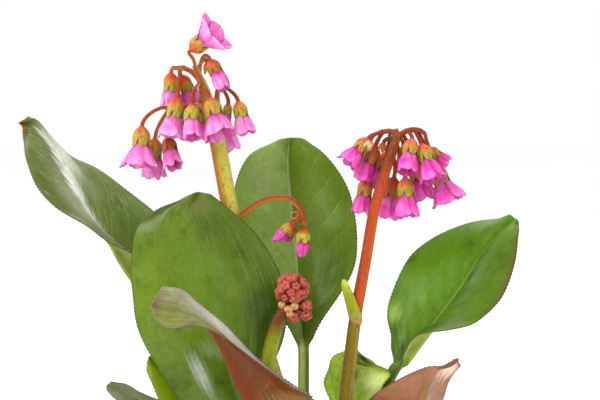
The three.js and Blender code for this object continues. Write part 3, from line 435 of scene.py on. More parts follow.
# left and right colour each blade's two halves; leaf_back's lighter left half and leaf_folded's pale right
# half are painted sheen
# sheen is a painted sheen, glint a painted highlight, and the spots are mostly painted highlights,
# reflections and shade
leafLooks = {
    "base": dict(
        slant=0.26, sideVeins=9.0, netAcross=14.0, netAlong=34.0, veinStrength=0.22, rimStrength=0.8,
        mottle=0.55, sheenStrokes=0.22, glint=0.0, footTo=(0.105, 0.15), strokeAcross=16.0, strokeAlong=2.4,
        strokeLean=0.0, veinRight=1.0, midrib=1.0, rim=(86, 42, 20), gloss=(0.3, 0.45), coat=0.14,
        vein=(150, 176, 50), under=(150, 168, 60), underPatch=(130, 150, 40), underVein=(190, 200, 90),
        foot=(150, 90, 40), stalk=(150, 170, 40), patch=(110, 140, 20), shade=(72, 100, 0),
        sheen=(156, 178, 110), glintColour=(235, 240, 160, 0.8), left=(105, 135, 20), right=(95, 125, 10),
        base=(80, 105, 0), spots=[], underSpots=[], underShade=(112, 132, 30)),
    "leaf_back": dict(
        left=(152, 190, 84), right=(100, 132, 0), patch=(126, 152, 16), base=(100, 128, 8),
        vein=(196, 214, 160), stalk=(116, 136, 0), veinRight=0.4, midrib=1.8, veinStrength=0.26,
        foot=(126, 148, 6), glint=0.8, glintColour=(228, 238, 130, 0.75), footTo=(0.15, 0.168),
        sheen=(160, 184, 96), shade=(80, 106, 0), mottle=0.4,
        spots=[(-0.5, 0.8, 0.5, 0.25, 0.5, (186, 206, 130)), (0.5, 0.25, 0.6, 0.34, 0.75, (66, 100, 0)),
               (-0.6, 0.2, 0.5, 0.2, 0.4, (112, 146, 20))]),
    "leaf_front": dict(
        left=(106, 136, 10), right=(88, 118, 6), patch=(122, 150, 48), base=(68, 96, 0), vein=(140, 170, 60),
        stalk=(150, 150, 40), foot=(120, 70, 30), sheenStrokes=0.24, mottle=0.6, shade=(60, 82, 2),
        veinStrength=0.12, sheen=(172, 186, 140), gloss=(0.22, 0.38), coat=0.2,
        spots=[(-0.8, 0.86, 0.55, 0.2, 0.8, (58, 74, 10)), (0.75, 0.45, 0.45, 0.34, 0.85, (48, 74, 0)),
               (-0.75, 0.55, 0.4, 0.24, 0.5, (130, 160, 24)), (-0.1, 0.5, 0.5, 0.3, 0.4, (122, 162, 20)),
               (0.3, 0.78, 0.4, 0.16, 0.5, (78, 92, 20)), (-0.43, 0.23, 0.17, 0.11, 0.95, (208, 218, 196)),
               (-0.4, 0.15, 0.12, 0.06, 0.7, (164, 182, 134)), (-0.85, 0.13, 0.3, 0.05, 0.7, (128, 104, 70)),
               (-0.1, 0.33, 0.3, 0.05, 0.6, (160, 180, 120)), (0.2, 0.92, 0.7, 0.1, 0.6, (128, 120, 70))]),
    "leaf_folded": dict(
        left=(140, 146, 66), right=(196, 188, 170), patch=(136, 146, 70), base=(160, 120, 90),
        vein=(210, 200, 170), rim=(120, 70, 78), under=(124, 48, 10), underPatch=(140, 78, 20),
        underVein=(176, 84, 36), stalk=(160, 84, 40), foot=(130, 50, 25), gloss=(0.28, 0.4), sheenStrokes=0.4,
        sheen=(226, 216, 206), shade=(120, 116, 60), underShade=(92, 60, 4), mottle=0.7,
        spots=[(-0.1, 0.9, 1.2, 0.16, 0.8, (132, 146, 52)),
               (0.7, 0.67, 0.6, 0.26, 0.85, (226, 220, 210, 0.62)),
               (0.1, 0.99, 1.5, 0.05, 0.7, (130, 96, 70))],
        underSpots=[(-0.8, 0.12, 0.8, 0.24, 0.95, (176, 124, 70)),
                    (-0.1, 0.4, 0.16, 0.5, 0.6, (150, 26, 20))]),
    "leaf_far_left": dict(
        left=(112, 124, 66), right=(112, 138, 50), patch=(126, 144, 76), base=(106, 130, 26),
        under=(140, 152, 40), underPatch=(148, 162, 50), vein=(186, 196, 150), stalk=(168, 180, 62, 0.6),
        foot=(160, 164, 60), sheenStrokes=0.6, sheen=(204, 210, 180), shade=(84, 100, 30), veinStrength=0.3,
        strokeAcross=3.0, strokeAlong=22.0, strokeLean=1.6,
        spots=[(-0.42, 0.5, 0.5, 0.28, 0.6, (196, 204, 164)), (-0.86, 0.66, 0.4, 0.42, 0.8, (88, 106, 38)),
               (0.26, 0.78, 0.4, 0.13, 0.75, (214, 220, 196, 0.7)),
               (0.2, 0.7, 0.36, 0.12, 0.7, (226, 232, 214, 0.85)),
               (0.3, 0.6, 0.34, 0.16, 0.45, (176, 188, 150)),
               (-0.02, 0.8, 0.18, 0.16, 0.85, (226, 230, 216, 0.7)),
               (-0.1, 0.62, 0.26, 0.17, 0.95, (234, 238, 228, 0.9)),
               (-0.18, 0.46, 0.28, 0.15, 0.95, (236, 238, 230, 0.9)),
               (-0.34, 0.33, 0.28, 0.13, 0.9, (230, 234, 222, 0.85)),
               (-0.58, 0.2, 0.3, 0.12, 0.9, (222, 226, 208, 0.75)), (0.5, 0.3, 0.5, 0.22, 0.5, (84, 116, 20)),
               (-0.3, 0.985, 1.5, 0.075, 1.0, (156, 104, 50))]),
    "leaf_right": dict(
        left=(98, 156, 0), right=(84, 126, 0), patch=(116, 158, 14), base=(60, 104, 0), vein=(146, 186, 50),
        under=(205, 225, 100), underPatch=(190, 214, 80), stalk=(88, 120, 0), foot=(150, 160, 50),
        veinStrength=0.14, midrib=3.4, sheenStrokes=0.3, mottle=0.55, shade=(58, 84, 0), sheen=(156, 184, 100),
        spots=[(-0.8, 0.27, 0.24, 0.09, 0.75, (180, 222, 100, 0.7)), (-0.72, 0.2, 0.1, 0.1, 0.6, (40, 90, 0)),
               (-0.5, 0.55, 0.5, 0.2, 0.4, (120, 176, 10)), (-0.3, 0.12, 0.2, 0.12, 0.7, (40, 84, 0)),
               (0.6, 0.35, 0.6, 0.26, 0.8, (64, 96, 0)), (-0.7, 0.9, 0.5, 0.14, 0.5, (136, 150, 100)),
               (0.97, 0.75, 0.12, 0.3, 0.7, (120, 84, 30))]),
    "leaf_red": dict(
        left=(158, 92, 60), right=(140, 76, 50), patch=(168, 106, 74), base=(112, 60, 24),
        vein=(190, 130, 90), rim=(110, 40, 60), under=(180, 110, 80), underPatch=(194, 130, 102),
        underVein=(190, 120, 90), stalk=(150, 72, 36), foot=(120, 50, 26), sheen=(220, 160, 130),
        shade=(120, 60, 40), sheenStrokes=0.4,
        spots=[(-0.65, 0.86, 0.6, 0.34, 1.0, (255, 208, 190, 1.0))],
        underSpots=[(-0.65, 0.86, 0.6, 0.34, 1.0, (255, 208, 190, 1.0)),
                    (0.0, 0.97, 1.6, 0.12, 0.7, (240, 186, 168, 0.75))]),
    "leaf_lime": dict(
        left=(140, 172, 0), right=(124, 156, 0), patch=(150, 180, 10), base=(120, 140, 0),
        under=(160, 184, 30), stalk=(150, 165, 30), shade=(110, 136, 0), sheen=(176, 200, 60)),
    "leaf_low": dict(
        left=(120, 128, 78), right=(130, 138, 92), patch=(108, 120, 64), base=(110, 118, 60),
        vein=(190, 196, 160), under=(120, 130, 80), sheenStrokes=0.6, sheen=(206, 210, 186), shade=(80, 92, 40),
        veinStrength=0.4),
    "leaf_young": dict(
        left=(140, 174, 10, 1.0), right=(186, 214, 80, 0.95), patch=(130, 166, 10, 0.9),
        base=(170, 196, 50, 1.0), shade=(116, 150, 4), under=(140, 170, 30, 0.9),
        underPatch=(150, 180, 40, 0.9), sheenStrokes=0.75, sheen=(226, 238, 160, 0.95), vein=(220, 232, 150, 0.95),
        veinStrength=0.4, rim=(96, 118, 30), stalk=(200, 214, 90, 0.9), foot=(190, 180, 80),
        spots=[(0.62, 0.95, 0.7, 0.12, 0.95, (82, 106, 16)),
               (0.72, 0.62, 0.42, 0.18, 0.75, (226, 238, 170, 0.85)),
               (0.3, 0.84, 0.5, 0.045, 0.85, (74, 104, 16)), (0.34, 0.77, 0.3, 0.03, 0.8, (206, 224, 150)),
               (0.14, 0.7, 0.2, 0.1, 0.7, (86, 124, 16))]),
}

leaves = {
    "leaf_back": dict(
        foot=[2, 18], stalkRadius=3.1, bulge=2.5, wave=1, stalk=[[2, 18, 122], [2, 17, 146]],
        left=[[-1, 16, 169], [-7, 18, 183], [-21, 20, 202], [-31, 25, 222], [-37, 30, 242], [-37, 36, 260],
              [-29, 42, 277], [-14, 47, 285]],
        rib=[[2, 16, 169], [1, 22, 183], [-1, 28, 199], [-2, 34, 217], [-4, 39, 236], [-6, 43, 256],
             [-7, 46, 273], [-6, 48, 286]],
        right=[[5, 16, 169], [10, 18, 182], [23, 21, 201], [31, 26, 218], [32, 31, 238], [27, 37, 259],
               [16, 42, 276], [3, 47, 286]]),
    "leaf_front": dict(
        foot=[-24, -7], stalkRadius=3.2, bulge=3, wave=1.2, stalk=[[-25, -8, 113]],
        left=[[-31, -10, 128], [-60, -16, 141], [-77, -18, 164], [-88, -18, 185], [-91, -17, 203],
              [-92, -15, 221], [-89, -13, 240], [-79, -11, 250], [-64, -9, 256]],
        rib=[[-28, -10, 129], [-34, -12, 145], [-39, -13, 162], [-44, -14, 180], [-50, -14, 200],
             [-55, -13, 220], [-58, -12, 238], [-60, -10, 250], [-56, -9, 259]],
        right=[[-25, -10, 130], [-21, -12, 148], [-15, -13, 165], [-9, -13, 180], [-7, -12, 197],
               [-11, -10, 215], [-23, -9, 236], [-38, -8, 250], [-48, -8, 258]]),
    "leaf_folded": dict(
        foot=[-10, -30], stalkRadius=2.9, bulge=2, wave=0.6, stalk=[],
        left=[[-10, -30, 117], [3, -44, 131], [6, -52, 152], [-5, -57, 160], [-20, -62, 172], [-33, -66, 183],
              [-44, -70, 190], [-56, -73, 194], [-68, -74, 193], [-76, -72, 197]],
        rib=[[-12, -31, 117], [-23, -40, 135], [-30, -47, 151], [-34, -50, 160], [-38, -54, 171],
             [-42, -58, 181], [-47, -61, 190], [-57, -63, 199], [-67, -65, 202], [-77, -67, 204]],
        right=[[-13, -27, 117], [3, -24, 130], [7, -30, 149], [-3, -35, 157.5], [-19, -42, 170],
               [-32, -48, 183.5], [-42, -52, 194.5], [-53, -54, 204], [-62, -56, 211.5], [-72, -60, 214]]),
    "leaf_far_left": dict(
        foot=[-26, 14], stalkRadius=3, bulge=2.5, wave=1,
        stalk=[[-31, 15, 118], [-48, 17, 142], [-68, 19, 172]],
        left=[[-87, 17, 199], [-86, 10, 220], [-95, 4, 227], [-109, 2, 233], [-121, 4, 242], [-136, 7, 252],
              [-147, 14, 262], [-153, 22, 276], [-155, 30, 286], [-156, 29, 291]],
        rib=[[-84, 20, 197], [-92, 21, 209], [-99, 22, 219], [-105, 23, 229], [-113, 24, 239],
             [-121, 26, 253], [-129, 28, 268], [-139, 31, 283], [-150, 34, 294], [-157, 30, 296]],
        right=[[-82, 23, 196], [-77, 36, 217], [-75, 44, 234], [-84, 46, 246], [-100, 46, 259],
               [-114, 46, 268], [-126, 44, 275], [-138, 42, 282], [-149, 38, 296], [-153, 33, 300]]),
    "leaf_right": dict(
        foot=[37, 13], stalkRadius=3.3, bulge=2.5, wave=1, stalk=[[39, 13, 122], [44, 13, 140]],
        left=[[50, 15, 161], [51, 20, 176], [49, 27, 189], [53, 33, 202], [62, 38, 220], [75, 42, 230],
              [95, 45, 238], [110, 46, 241.5], [118, 43, 241]],
        rib=[[53, 12, 160], [60, 14, 167], [67, 17, 175], [75, 20, 184], [83, 23, 194], [92, 26, 206],
             [101, 30, 220], [112, 35, 233], [121, 40, 241]],
        right=[[56, 9, 161], [58, 2, 171], [66, -3, 180], [81, -4, 184], [98, -2, 188], [111, 4, 199],
               [119, 14, 218], [123, 27, 232], [124, 38, 237]]),
    "leaf_red": dict(
        foot=[27, -12], stalkRadius=2.6, bulge=1.5, wave=0.8, stalk=[[28, -13, 112]],
        left=[[35, -17, 121], [54, -14, 118], [70, -15, 127], [76, -22, 142], [79, -32, 157], [83, -40, 164],
              [85, -46, 170], [84, -50, 172]],
        rib=[[33, -17, 122], [46, -24, 129], [59, -33, 138], [65, -41, 149], [68, -46, 159], [71, -50, 167],
             [77, -52, 171], [83, -52, 174]],
        right=[[31, -17, 123], [31, -18, 134], [35, -22, 144], [41, -28, 152], [53, -36, 161], [66, -44, 168],
               [77, -48, 170], [82, -51, 173]]),
    "leaf_lime": dict(
        foot=[-30, 3], stalkRadius=2.3, bulge=1.2, wave=0.6, stalk=[],
        left=[[-39, -1, 121], [-57, -4, 122], [-71, -4, 131], [-79, -3, 147], [-84, 0, 158], [-85, 3, 164]],
        rib=[[-37, 1, 122], [-49, 1, 133], [-61, 2, 144], [-71, 3, 154], [-79, 4, 162], [-83, 4, 167]],
        right=[[-35, 3, 124], [-40, 5, 144], [-51, 8, 156], [-62, 8, 165], [-73, 7, 168], [-80, 5, 168]]),
    "leaf_low": dict(
        foot=[-33, -15], stalkRadius=2.3, bulge=1.2, wave=0.8, stalk=[],
        left=[[-40, -22, 121], [-56, -34, 123], [-72, -40, 130], [-86, -43, 139], [-97, -42, 150],
              [-104, -38, 155]],
        rib=[[-39, -20, 123], [-53, -24, 131], [-67, -28, 140], [-81, -32, 147], [-94, -35, 153],
             [-103, -37, 157]],
        right=[[-39, -18, 125], [-50, -20, 136], [-63, -21, 141], [-77, -23, 147], [-90, -27, 155],
               [-101, -33, 159]]),
    "leaf_young": dict(
        foot=[23, 18], stalkRadius=2.2, bulge=2, wave=1.6, stalk=[],
        left=[[26, 16, 116], [20, 10, 127], [16, 8, 142], [14, 9, 155], [17, 13, 164], [25, 16, 170]],
        rib=[[28, 17, 116], [28, 18, 126], [29, 19, 139], [29, 19, 151], [30, 20, 161], [31, 19, 170]],
        right=[[30, 15, 116], [36, 6, 127], [44, 3, 142], [47, 2, 152], [49, 2, 160], [40, 6, 165]]),
}

leafMake = {"columns": 34, "stalkSteps": 26, "footFlare": 1.15, "thickness": 0.7, "edgeThickness": 0.35,
            "crowding": 1.2, "rimWidth": 1.0, "toothPitch": 2.1, "toothDepth": 0.22, "ribHalfWidth": 2.2,
            "keel": 1.3, "groove": 0.35, "grooveWidth": 0.9, "relief": 0.09, "waves": 19, "tipRound": 1.2,
            "teethFrom": [0.02, 0.12], "rimFrom": [0.02, 0.1], "stalkShape": 0.09, "stalkColour": 0.1,
            "smallStep": [0.03, 0.006]}  # the last five are shares of the blade's width and length
veinBend = 0.85  # side veins curve towards the tip
leafNoise = dict(broad=28.0, mottle=75.0, fine=420.0, sway=70.0, stalk=90.0, gloss=120.0)
leafShader = dict(coatRough=0.28, shine=0.22, shineTint=(0.8, 1.0, 0.4, 1.0), glow=0.06,
                  glowRadius=(0.4, 1.0, 0.15), glowScale=0.002)


def leafSpots(spots, side, along, ragged, tint):  # soft patches on a blade: mostly painted highlights, reflections and shade, with some of the leaf's own brown tips and rims
    for u, t, wide, tall, strength, paint in spots:
        away = (((side - u) / wide) ** 2.0 + ((along - t) / tall) ** 2.0).math("SQRT") + ragged
        tint = blend(away.ease(1.0, 0.1, 0.0, strength), tint, colour(*paint))
    return tint


def leafMaterial(name, look):
    skin = Skin(name)
    across, along = skin.spot()
    side = across * 2.0 - 1.0
    reach, height = abs(side), skin.where.part(2)
    broad, mottle = skin.noise(leafNoise["broad"]), skin.noise(leafNoise["mottle"], 4.0, 0.6)
    fine, sway = skin.noise(leafNoise["fine"], 4.0, 0.6), (skin.noise(leafNoise["sway"], 2.0) - 0.5) * 0.05
    # side veins leave the midrib at a slant and bend towards the tip
    slant = reach ** veinBend * look["slant"]
    phase = (along - slant + sway) * look["sideVeins"] + side.ease(-0.01, 0.01, 0.0, 0.5)
    sideVein = abs((phase + 20.0).math("FRACT") - 0.5).ease(0.075, 0.0) * reach.ease(1.0, 0.7)
    middle = reach.ease(0.05, 0.012)
    netSpot = (side * look["netAcross"]).beside(along * look["netAlong"])
    net = skin.node("ShaderNodeTexVoronoi", {"Vector": netSpot, "Scale": 1.0}, "Distance",
                    feature="DISTANCE_TO_EDGE").ease(0.09, 0.0) * 0.4
    veins = (sideVein * 0.8).largest(middle).largest(net)
    # the upper side
    strokeSpot = (along - slant * look["strokeLean"]) * look["strokeAlong"]
    sheenStrokes = (side * look["strokeAcross"]).beside(strokeSpot).noise(1.6, 4.0, 0.65)
    clear = (veins * side.ease(-0.02, 0.02, 1.0, look["veinRight"])).largest(middle * look["midrib"])
    # each half in its own colour, partly the leaf's own tint and partly painted light: leaf_back's left half
    # and leaf_folded's right half are painted lighter as sheen
    face = blend(side.ease(-0.05, 0.05), look["left"], look["right"])
    face = blend(along.ease(0.35, 0.0) * 0.55, face, look["base"])
    face = blend(broad.ease(0.4, 0.72, 0.0, 0.5), face, look["patch"])
    face = blend(mottle.ease(0.5, 0.3, 0.0, look["mottle"]), face, look["shade"])
    # painted sheen: pale strokes in the sheen colour where the glossy blade would reflect light
    face = blend(sheenStrokes.ease(0.52, 0.75, 0.0, look["sheenStrokes"]), face, look["sheen"])
    face = blend(clear.math("MULTIPLY", look["veinStrength"], clamp=True), face, look["vein"])
    # the underside
    back = blend(broad.ease(0.35, 0.7), look["under"], look["underPatch"])
    back = blend(sideVein.largest(middle) * 0.35, back, look["underVein"])
    back = blend(mottle.ease(0.5, 0.3, 0.0, look["mottle"]), back, look["underShade"])
    ragged = (broad - 0.5) * 0.5 + (sheenStrokes - 0.5) * 1.6
    face = leafSpots(look["spots"], side, along, ragged, face)
    back = leafSpots(look["underSpots"], side, along, ragged, back)
    # the stalk, with a painted highlight down its middle on leaf_back
    foot, knee = look["footTo"]
    stem = blend(height.ease(foot, knee), look["foot"], look["stalk"])
    stem = blend(skin.noise(leafNoise["stalk"], 2.0).ease(0.45, 0.65, 0.0, 0.4), stem, look["under"])
    glint = abs(side + 0.12).ease(0.34, 0.06, 0.0, look["glint"]) * height.ease(knee + 0.02, knee)
    stem = blend(glint, stem, look["glintColour"])
    tint = blend(skin.layer("upper"), back, face)
    tint = blend(skin.layer("rim") * look["rimStrength"], tint, look["rim"])
    tint = blend(skin.layer("stalk"), tint, stem)
    tint = blend(fine.ease(0.3, 0.8, 0.0, 0.22), tint, (0.02, 0.03, 0.01, 1), "MULTIPLY")
    rough = skin.noise(leafNoise["gloss"]).ease(0.3, 0.7, *look["gloss"])
    return skin.finish(tint, rough, fine * 0.35 + veins * -0.6, 0.00022, 0.7, coat=look["coat"], **leafShader)


def bladeSurface(leaf, u, t):  # u runs across from -1 to 1, t from the stalk to the tip
    make, look = leafMake, leafLooks["base"]
    left, rib, right = (alongCurve(leaf[line], t)[:, None, :] for line in ("left", "rib", "right"))
    run = curveDirection(leaf["rib"], t)[:, None, :]
    when, side = t[:, None, None], u[..., None]
    across = np.where(side < 0, rib - left, right - rib)
    normal = unit(np.cross(across, run))
    reach = np.abs(side)
    arch = leaf["bulge"] * np.sin(math.pi * reach) * smooth(when, 0, 0.3)
    ripple = leaf["wave"] * reach ** 2 * np.sin(make["waves"] * when + 1.3 * side + 2) * smooth(when, 0, 0.2)
    phase = look["sideVeins"] * (when - look["slant"] * reach ** veinBend) + 0.5 * (side > 0)
    pillow = make["relief"] * np.cos(fullTurn * phase) * smooth(reach, 1, 0.6) * smooth(reach, 0, 0.15)
    tip = make["tipRound"] * (1 - np.minimum(reach, 1) ** 2) * smooth(when, 0.93, 1)
    edge = np.where(side < 0, left, right)
    return rib + (edge - rib) * reach + normal * (arch + ripple + pillow) + run * tip


def ringAt(centre, direction, side, radius, angles):
    right = unit(side - direction * np.dot(side, direction))
    up = np.cross(direction, right)
    return centre + radius * (np.cos(angles)[:, None] * right + np.sin(angles)[:, None] * up)


def stalkRings(leaf, angles):
    make, radius = leafMake, leaf["stalkRadius"]
    foot, knee = [*leaf["foot"], footBottom], [*leaf["foot"], footTop]
    path = [foot, knee, *leaf["stalk"], *leaf["rib"][:2]]
    kneeAt = 1 / (len(path) - 1)
    sideways = np.subtract(leaf["right"][0], leaf["left"][0]).astype(float)
    upright = np.array([0, 0, 1.0])
    rings = [ringAt(np.array(foot, float), upright, sideways, radius * make["footFlare"], angles)]
    for part in np.arange(make["stalkSteps"] + 1) / make["stalkSteps"]:
        t = mix(kneeAt, 1 - kneeAt, part)
        rings.append(ringAt(alongCurve(path, t), curveDirection(path, t), sideways,
                            radius * mix(make["footFlare"], 1, part), angles))
    return np.array(rings)


def leafPiece(node, leaf):
    make = leafMake
    columns = make["columns"]
    around = 2 * columns
    stalk = stalkRings(leaf, ((np.arange(around) + 0.5) / columns - 1) * math.pi)
    # three rows for each tooth of the rim
    curves = [leaf["left"], leaf["rib"], leaf["right"]]
    rimLength = sum(lengths(c, np.linspace(0, 1, 60)).sum() for c in curves[::2]) / 2
    t = evenSpots(curves, 3 * int(rimLength / make["toothPitch"]) + 1)[1:]
    rise = t[:, None]
    width = np.linalg.norm(alongCurve(leaf["left"], t) - alongCurve(leaf["right"], t), axis=1)[:, None] / 2
    spread = np.linspace(-1, 1, columns - 2)
    inner = (np.sign(spread) * np.abs(spread) ** make["crowding"])[None, :] * (1 - make["rimWidth"] / width)
    tooth = np.array([-1.0, 0.1, 1.0])[np.arange(len(t)) % 3][:, None]
    saw = tooth * make["toothDepth"] * smooth(rise, *make["teethFrom"])
    u = np.hstack([-1 - saw / width, inner, 1 + saw / width])
    # both faces of the blade, with the keel of the midrib below
    middle = bladeSurface(leaf, u, t)
    du, dt = make["smallStep"]
    along = bladeSurface(leaf, u, np.minimum(t + dt, 1)) - bladeSurface(leaf, u, t - dt)
    across = bladeSurface(leaf, u + du, t) - bladeSurface(leaf, u - du, t)
    normal = unit(np.cross(across, along))
    near = np.abs(u) * width / make["ribHalfWidth"]
    keel = make["keel"] * leaf["stalkRadius"] * (1 - rise) ** 1.2 * np.clip(1 - near ** 2, 0, 1)
    groove = make["groove"] * np.exp(-(np.abs(u) * width / make["grooveWidth"]) ** 2)
    half = mix(make["edgeThickness"], make["thickness"], smooth(np.abs(u), 1, 0.8)) / 2
    above = middle + normal * (half - groove)[..., None]
    below = middle - normal * (half + keel)[..., None]
    section = np.concatenate([above, below[:, ::-1]], axis=1)
    # the stalk's last ring glides along the midrib and turns into the blade
    moved = stalk[-1][None] + (alongCurve(leaf["rib"], t) - alongCurve(leaf["rib"], 0))[:, None, :]
    points = np.concatenate([stalk, mix(moved, section, smooth(t, 0, make["stalkShape"])[:, None, None])])
    count = len(points)
    pairU = np.hstack([u, u[:, ::-1]])
    allU = np.vstack([np.tile(pairU[:1], (len(stalk), 1)), pairU])
    allT = np.concatenate([np.zeros(len(stalk)), t])[:, None]
    maps = np.stack([0.5 + 0.5 * np.clip(allU, -1, 1), np.tile(allT, (1, around))], axis=-1)
    rim = np.zeros((count, around))
    rim[:, [0, columns - 1, columns, around - 1]] = 1
    floats = {"upper": np.tile(np.arange(around) < columns, (count, 1)),
              "rim": rim * smooth(allT, *make["rimFrom"]),
              "stalk": np.tile(1 - smooth(allT, 0.0, make["stalkColour"]), (1, around))}
    flat = points.reshape(-1, 3)
    material = leafMaterial(node + "_skin", painted({**leafLooks["base"], **leafLooks[node]}))
    piece = makeObject(node.replace("leaf_", "blade_"), flat, faceOutwards(flat, ringFaces(count, around)),
                       material, floats, maps)
    return stands(piece, node, node)


for leafName, leafShape in leaves.items():
    leafPiece(leafName, leafShape)
print("leaves made:", len(leaves))


# Flowers: the same places and sizes as the solids

flowerKeys = ("start", "base", "aim", "size", "rise", "flare", "kind", "girth")


def flowerRows(*rows):
    return [dict(zip(flowerKeys, row)) for row in rows]


leftFlowers = flowerRows(
    ([-57.5, 0, 328], [-60, -1, 337], [0.79, -0.2, 0.58], 0.8, 7, 1, None, 1.25),
    ([-55, 1, 323], [-49.5, -2, 332.5], [0.43, -0.22, -0.87], 0.8, 12, 0.3, "red"),
    ([-69, 1, 327], [-71, 5, 325], [-0.02, 0.36, -0.93], 0.84, 2, 0.5),
    ([-63, 0, 326.8], [-66, 10, 323.5], [0.36, 0.45, -0.8], 0.82, 3, 0.6),
    ([-66, 0, 327.3], [-67, -3, 311.5], [-0.13, -0.15, -0.97], 0.98, -3, 0.7),
    ([-54.5, 0, 319.5], [-59, -12, 308], [0.05, -0.4, -0.92], 0.86, 1, 0.45),
    ([-53, 1, 316], [-55, 9, 308.5], [-0.05, 0.23, -0.97], 0.9, 1, 0.45),
    ([-53, -0.5, 317], [-49.5, -10, 311.5], [0.3, -0.36, -0.88], 1.02, 2, 0.85),
    ([-44, 6, 317], [-39.5, 7, 308], [-0.12, 0.05, -0.97], 0.5, 1, 0.2),
    ([-43, 5, 316.5], [-34, 2, 309.5], [0.21, -0.11, -0.97], 0.8, 2, 0.6),
    ([-45.5, 6, 314], [-44.5, 15, 303], [0.26, 0.1, -0.96], 0.94, 3, 0.6),
    ([-73, 2, 304.5], [-86.5, -4, 296], [-0.04, -0.18, -0.98], 0.98, 4, 1),
    ([-71.5, 2.5, 304.8], [-80, 6, 289], [-0.11, 0.16, -0.98], 0.94, 1, 0.6),
    ([-69.5, 3.5, 305], [-73, 6, 289.5], [0.18, -0.5, -0.85], 0.86, 0, 0.5, "red"))

rightFlowers = flowerRows(
    ([42.7, -7.5, 291.5], [37.5, -6, 289.5], [-0.62, -0.2, -0.76], 0.82, 1, 0.7),
    ([46.5, -8, 293], [41.5, -1, 285.5], [-0.33, 0.1, -0.94], 0.9, 1, 0.4, "red"),
    ([44.5, -7.5, 292.3], [37, 10, 266.5], [-0.16, -0.08, -0.98], 0.85, 0, 0.6),
    ([50, -7, 285], [52, 5, 267.5], [-0.18, 0.21, -0.96], 0.98, -3, 0.65, "red"),
    ([53, -8, 287], [57.5, -7, 268], [0.04, -0.18, -0.98], 0.95, -3, 0.7),
    ([58, -8.5, 293.2], [61, -12, 289.5], [-0.15, -0.43, -0.89], 0.88, 1, 0.5),
    ([62, -8, 293.8], [66, -10, 286.5], [0.3, -0.3, -0.91], 0.93, 1, 0.6),
    ([60, -7, 293.5], [68, 8, 285.5], [0.28, 0.5, -0.82], 0.7, 2, 0.3),
    ([64.5, -7, 293.6], [71, 4, 283.5], [0.74, 0.25, -0.63], 0.58, 1, 0.6),
    ([68.2, -7.2, 291.8], [74, -1, 275], [0.36, -0.05, -0.93], 0.96, -1, 1),
    ([56, -7.5, 292], [63, 6, 277], [0.2, 0.13, -0.97], 0.96, -1, 0.6),
    ([53.5, -7.5, 289.5], [57, 3, 284.5], [0, 0.5, -0.86], 0.72, 1, 0.4),
    ([49, -8, 293.3], [48, 9, 281], [-0.25, 0.35, -0.9], 0.9, 2, 0.5))

sideBuds = flowerRows(
    ([1.2, -9.2, 247], [-4.8, -10.5, 243], [-0.68, -0.2, -0.71], 0.58, -1, 0),
    ([1.4, -8.8, 246.5], [-3.2, -5.5, 241], [-0.42, 0.45, -0.79], 0.5, -1, 0),
    ([2, -9, 245], [2, -9, 240], [-0.07, -0.07, -1], 0.66, 0, 0, "lime", 1.2))

leftCups = flowerRows(
    ([-56.3, 0.3, 325.6], [-51, 5, 331], [0.12, 0.11, -0.99], 0.55, 3),
    ([0, -9, 249], [-2.5, -11.5, 247], [-0.13, -0.97, 0.21], 0.4, 0, 0, "cream"))

rightCups = flowerRows(
    ([46.5, -8, 293], [38.5, -12, 289], [-0.35, -0.35, -0.85], 0.5, 1, 0, "cream"),
    ([51.6, -8.2, 289.5], [46, -3, 287], [-0.3, 0.1, -0.95], 0.45, 0))

leftStems = [  # for each stem its points, each with its thickness
    [[1, 0, footBottom, 5], [1, 0, footTop, 5], [-4, 0, 125, 5], [-13, 0, 152, 5], [-22, 0, 183, 4.9],
     [-30, 0.5, 216, 4.8], [-37.5, 1, 246, 4.7], [-41.5, 1, 266, 4.6], [-45.5, 1, 288, 4.5],
     [-48.5, 1, 300, 4.1], [-51, 1, 310.5, 3.4], [-53.5, 0, 318.5, 2.6], [-56.5, 0, 325.5, 1.8],
     [-58, 0, 329, 1.2]],
    [[-53.5, 0, 319, 1.5], [-59.5, 0, 325.5, 1.4], [-65, 0, 327.5, 1.3], [-69.5, 1, 327.3, 1.1]],
    [[-50, 1, 306.5, 1.9], [-58.5, 4.5, 306, 1.8], [-66.5, 3.5, 305, 1.7], [-73.5, 2, 304.5, 1.5]],
    [[-48, 1, 301, 1.6], [-46, 6, 309.5, 1.5], [-45.5, 6, 314, 1.4], [-44.5, 6, 317, 1.3],
     [-42.5, 5, 316.5, 1.2]],
    [[-37, 0, 243, 2.2], [-31.5, -3, 247, 1.8], [-26.5, -4, 251, 1.6], [-21, -5, 254.5, 1.5],
     [-13.5, -7, 256.5, 1.5], [-6.5, -8, 256.5, 1.4], [-1, -9, 252.5, 1.5], [1.5, -9, 247, 1.8],
     [2, -9, 242, 1.8]]]

rightStems = [
    [[22, -1, footBottom, 4], [22, -1, footTop, 4], [23, -2, 125, 3.9], [25, -3, 144.5, 3.8],
     [28.5, -5, 175.5, 3.6], [31, -6, 195, 3.4], [33, -6, 206, 3.3], [36, -7, 222.5, 3.1], [40, -8, 247.5, 3],
     [42, -8, 255.5, 3], [46, -9, 269.5, 2.9], [50.5, -9, 283, 2.8], [52.5, -9, 290.5, 2.3],
     [52, -9, 294.5, 1.4]],
    [[52, -9, 291.5, 1.5], [49, -8.5, 293.3, 1.4], [45.5, -8, 292.8, 1.3], [42.5, -7, 291.5, 1.1]],
    [[50.5, -9, 283, 1.9], [53.5, -8, 289, 1.7], [56.5, -8, 292.5, 1.6], [61, -8, 294, 1.5],
     [65.5, -7.6, 293.6, 1.3], [68.4, -7.2, 291.6, 1.1]]]

budStems = [
    [[-21, -25, footBottom, 4.4], [-21, -25, footTop, 4.4], [-20.5, -25, 125, 4.3], [-19.5, -26, 148, 4.2],
     [-16.5, -27, 173, 4], [-13.5, -28, 186, 3.8], [-10.5, -28, 194, 3.3], [-7, -28, 200, 2.6]]]

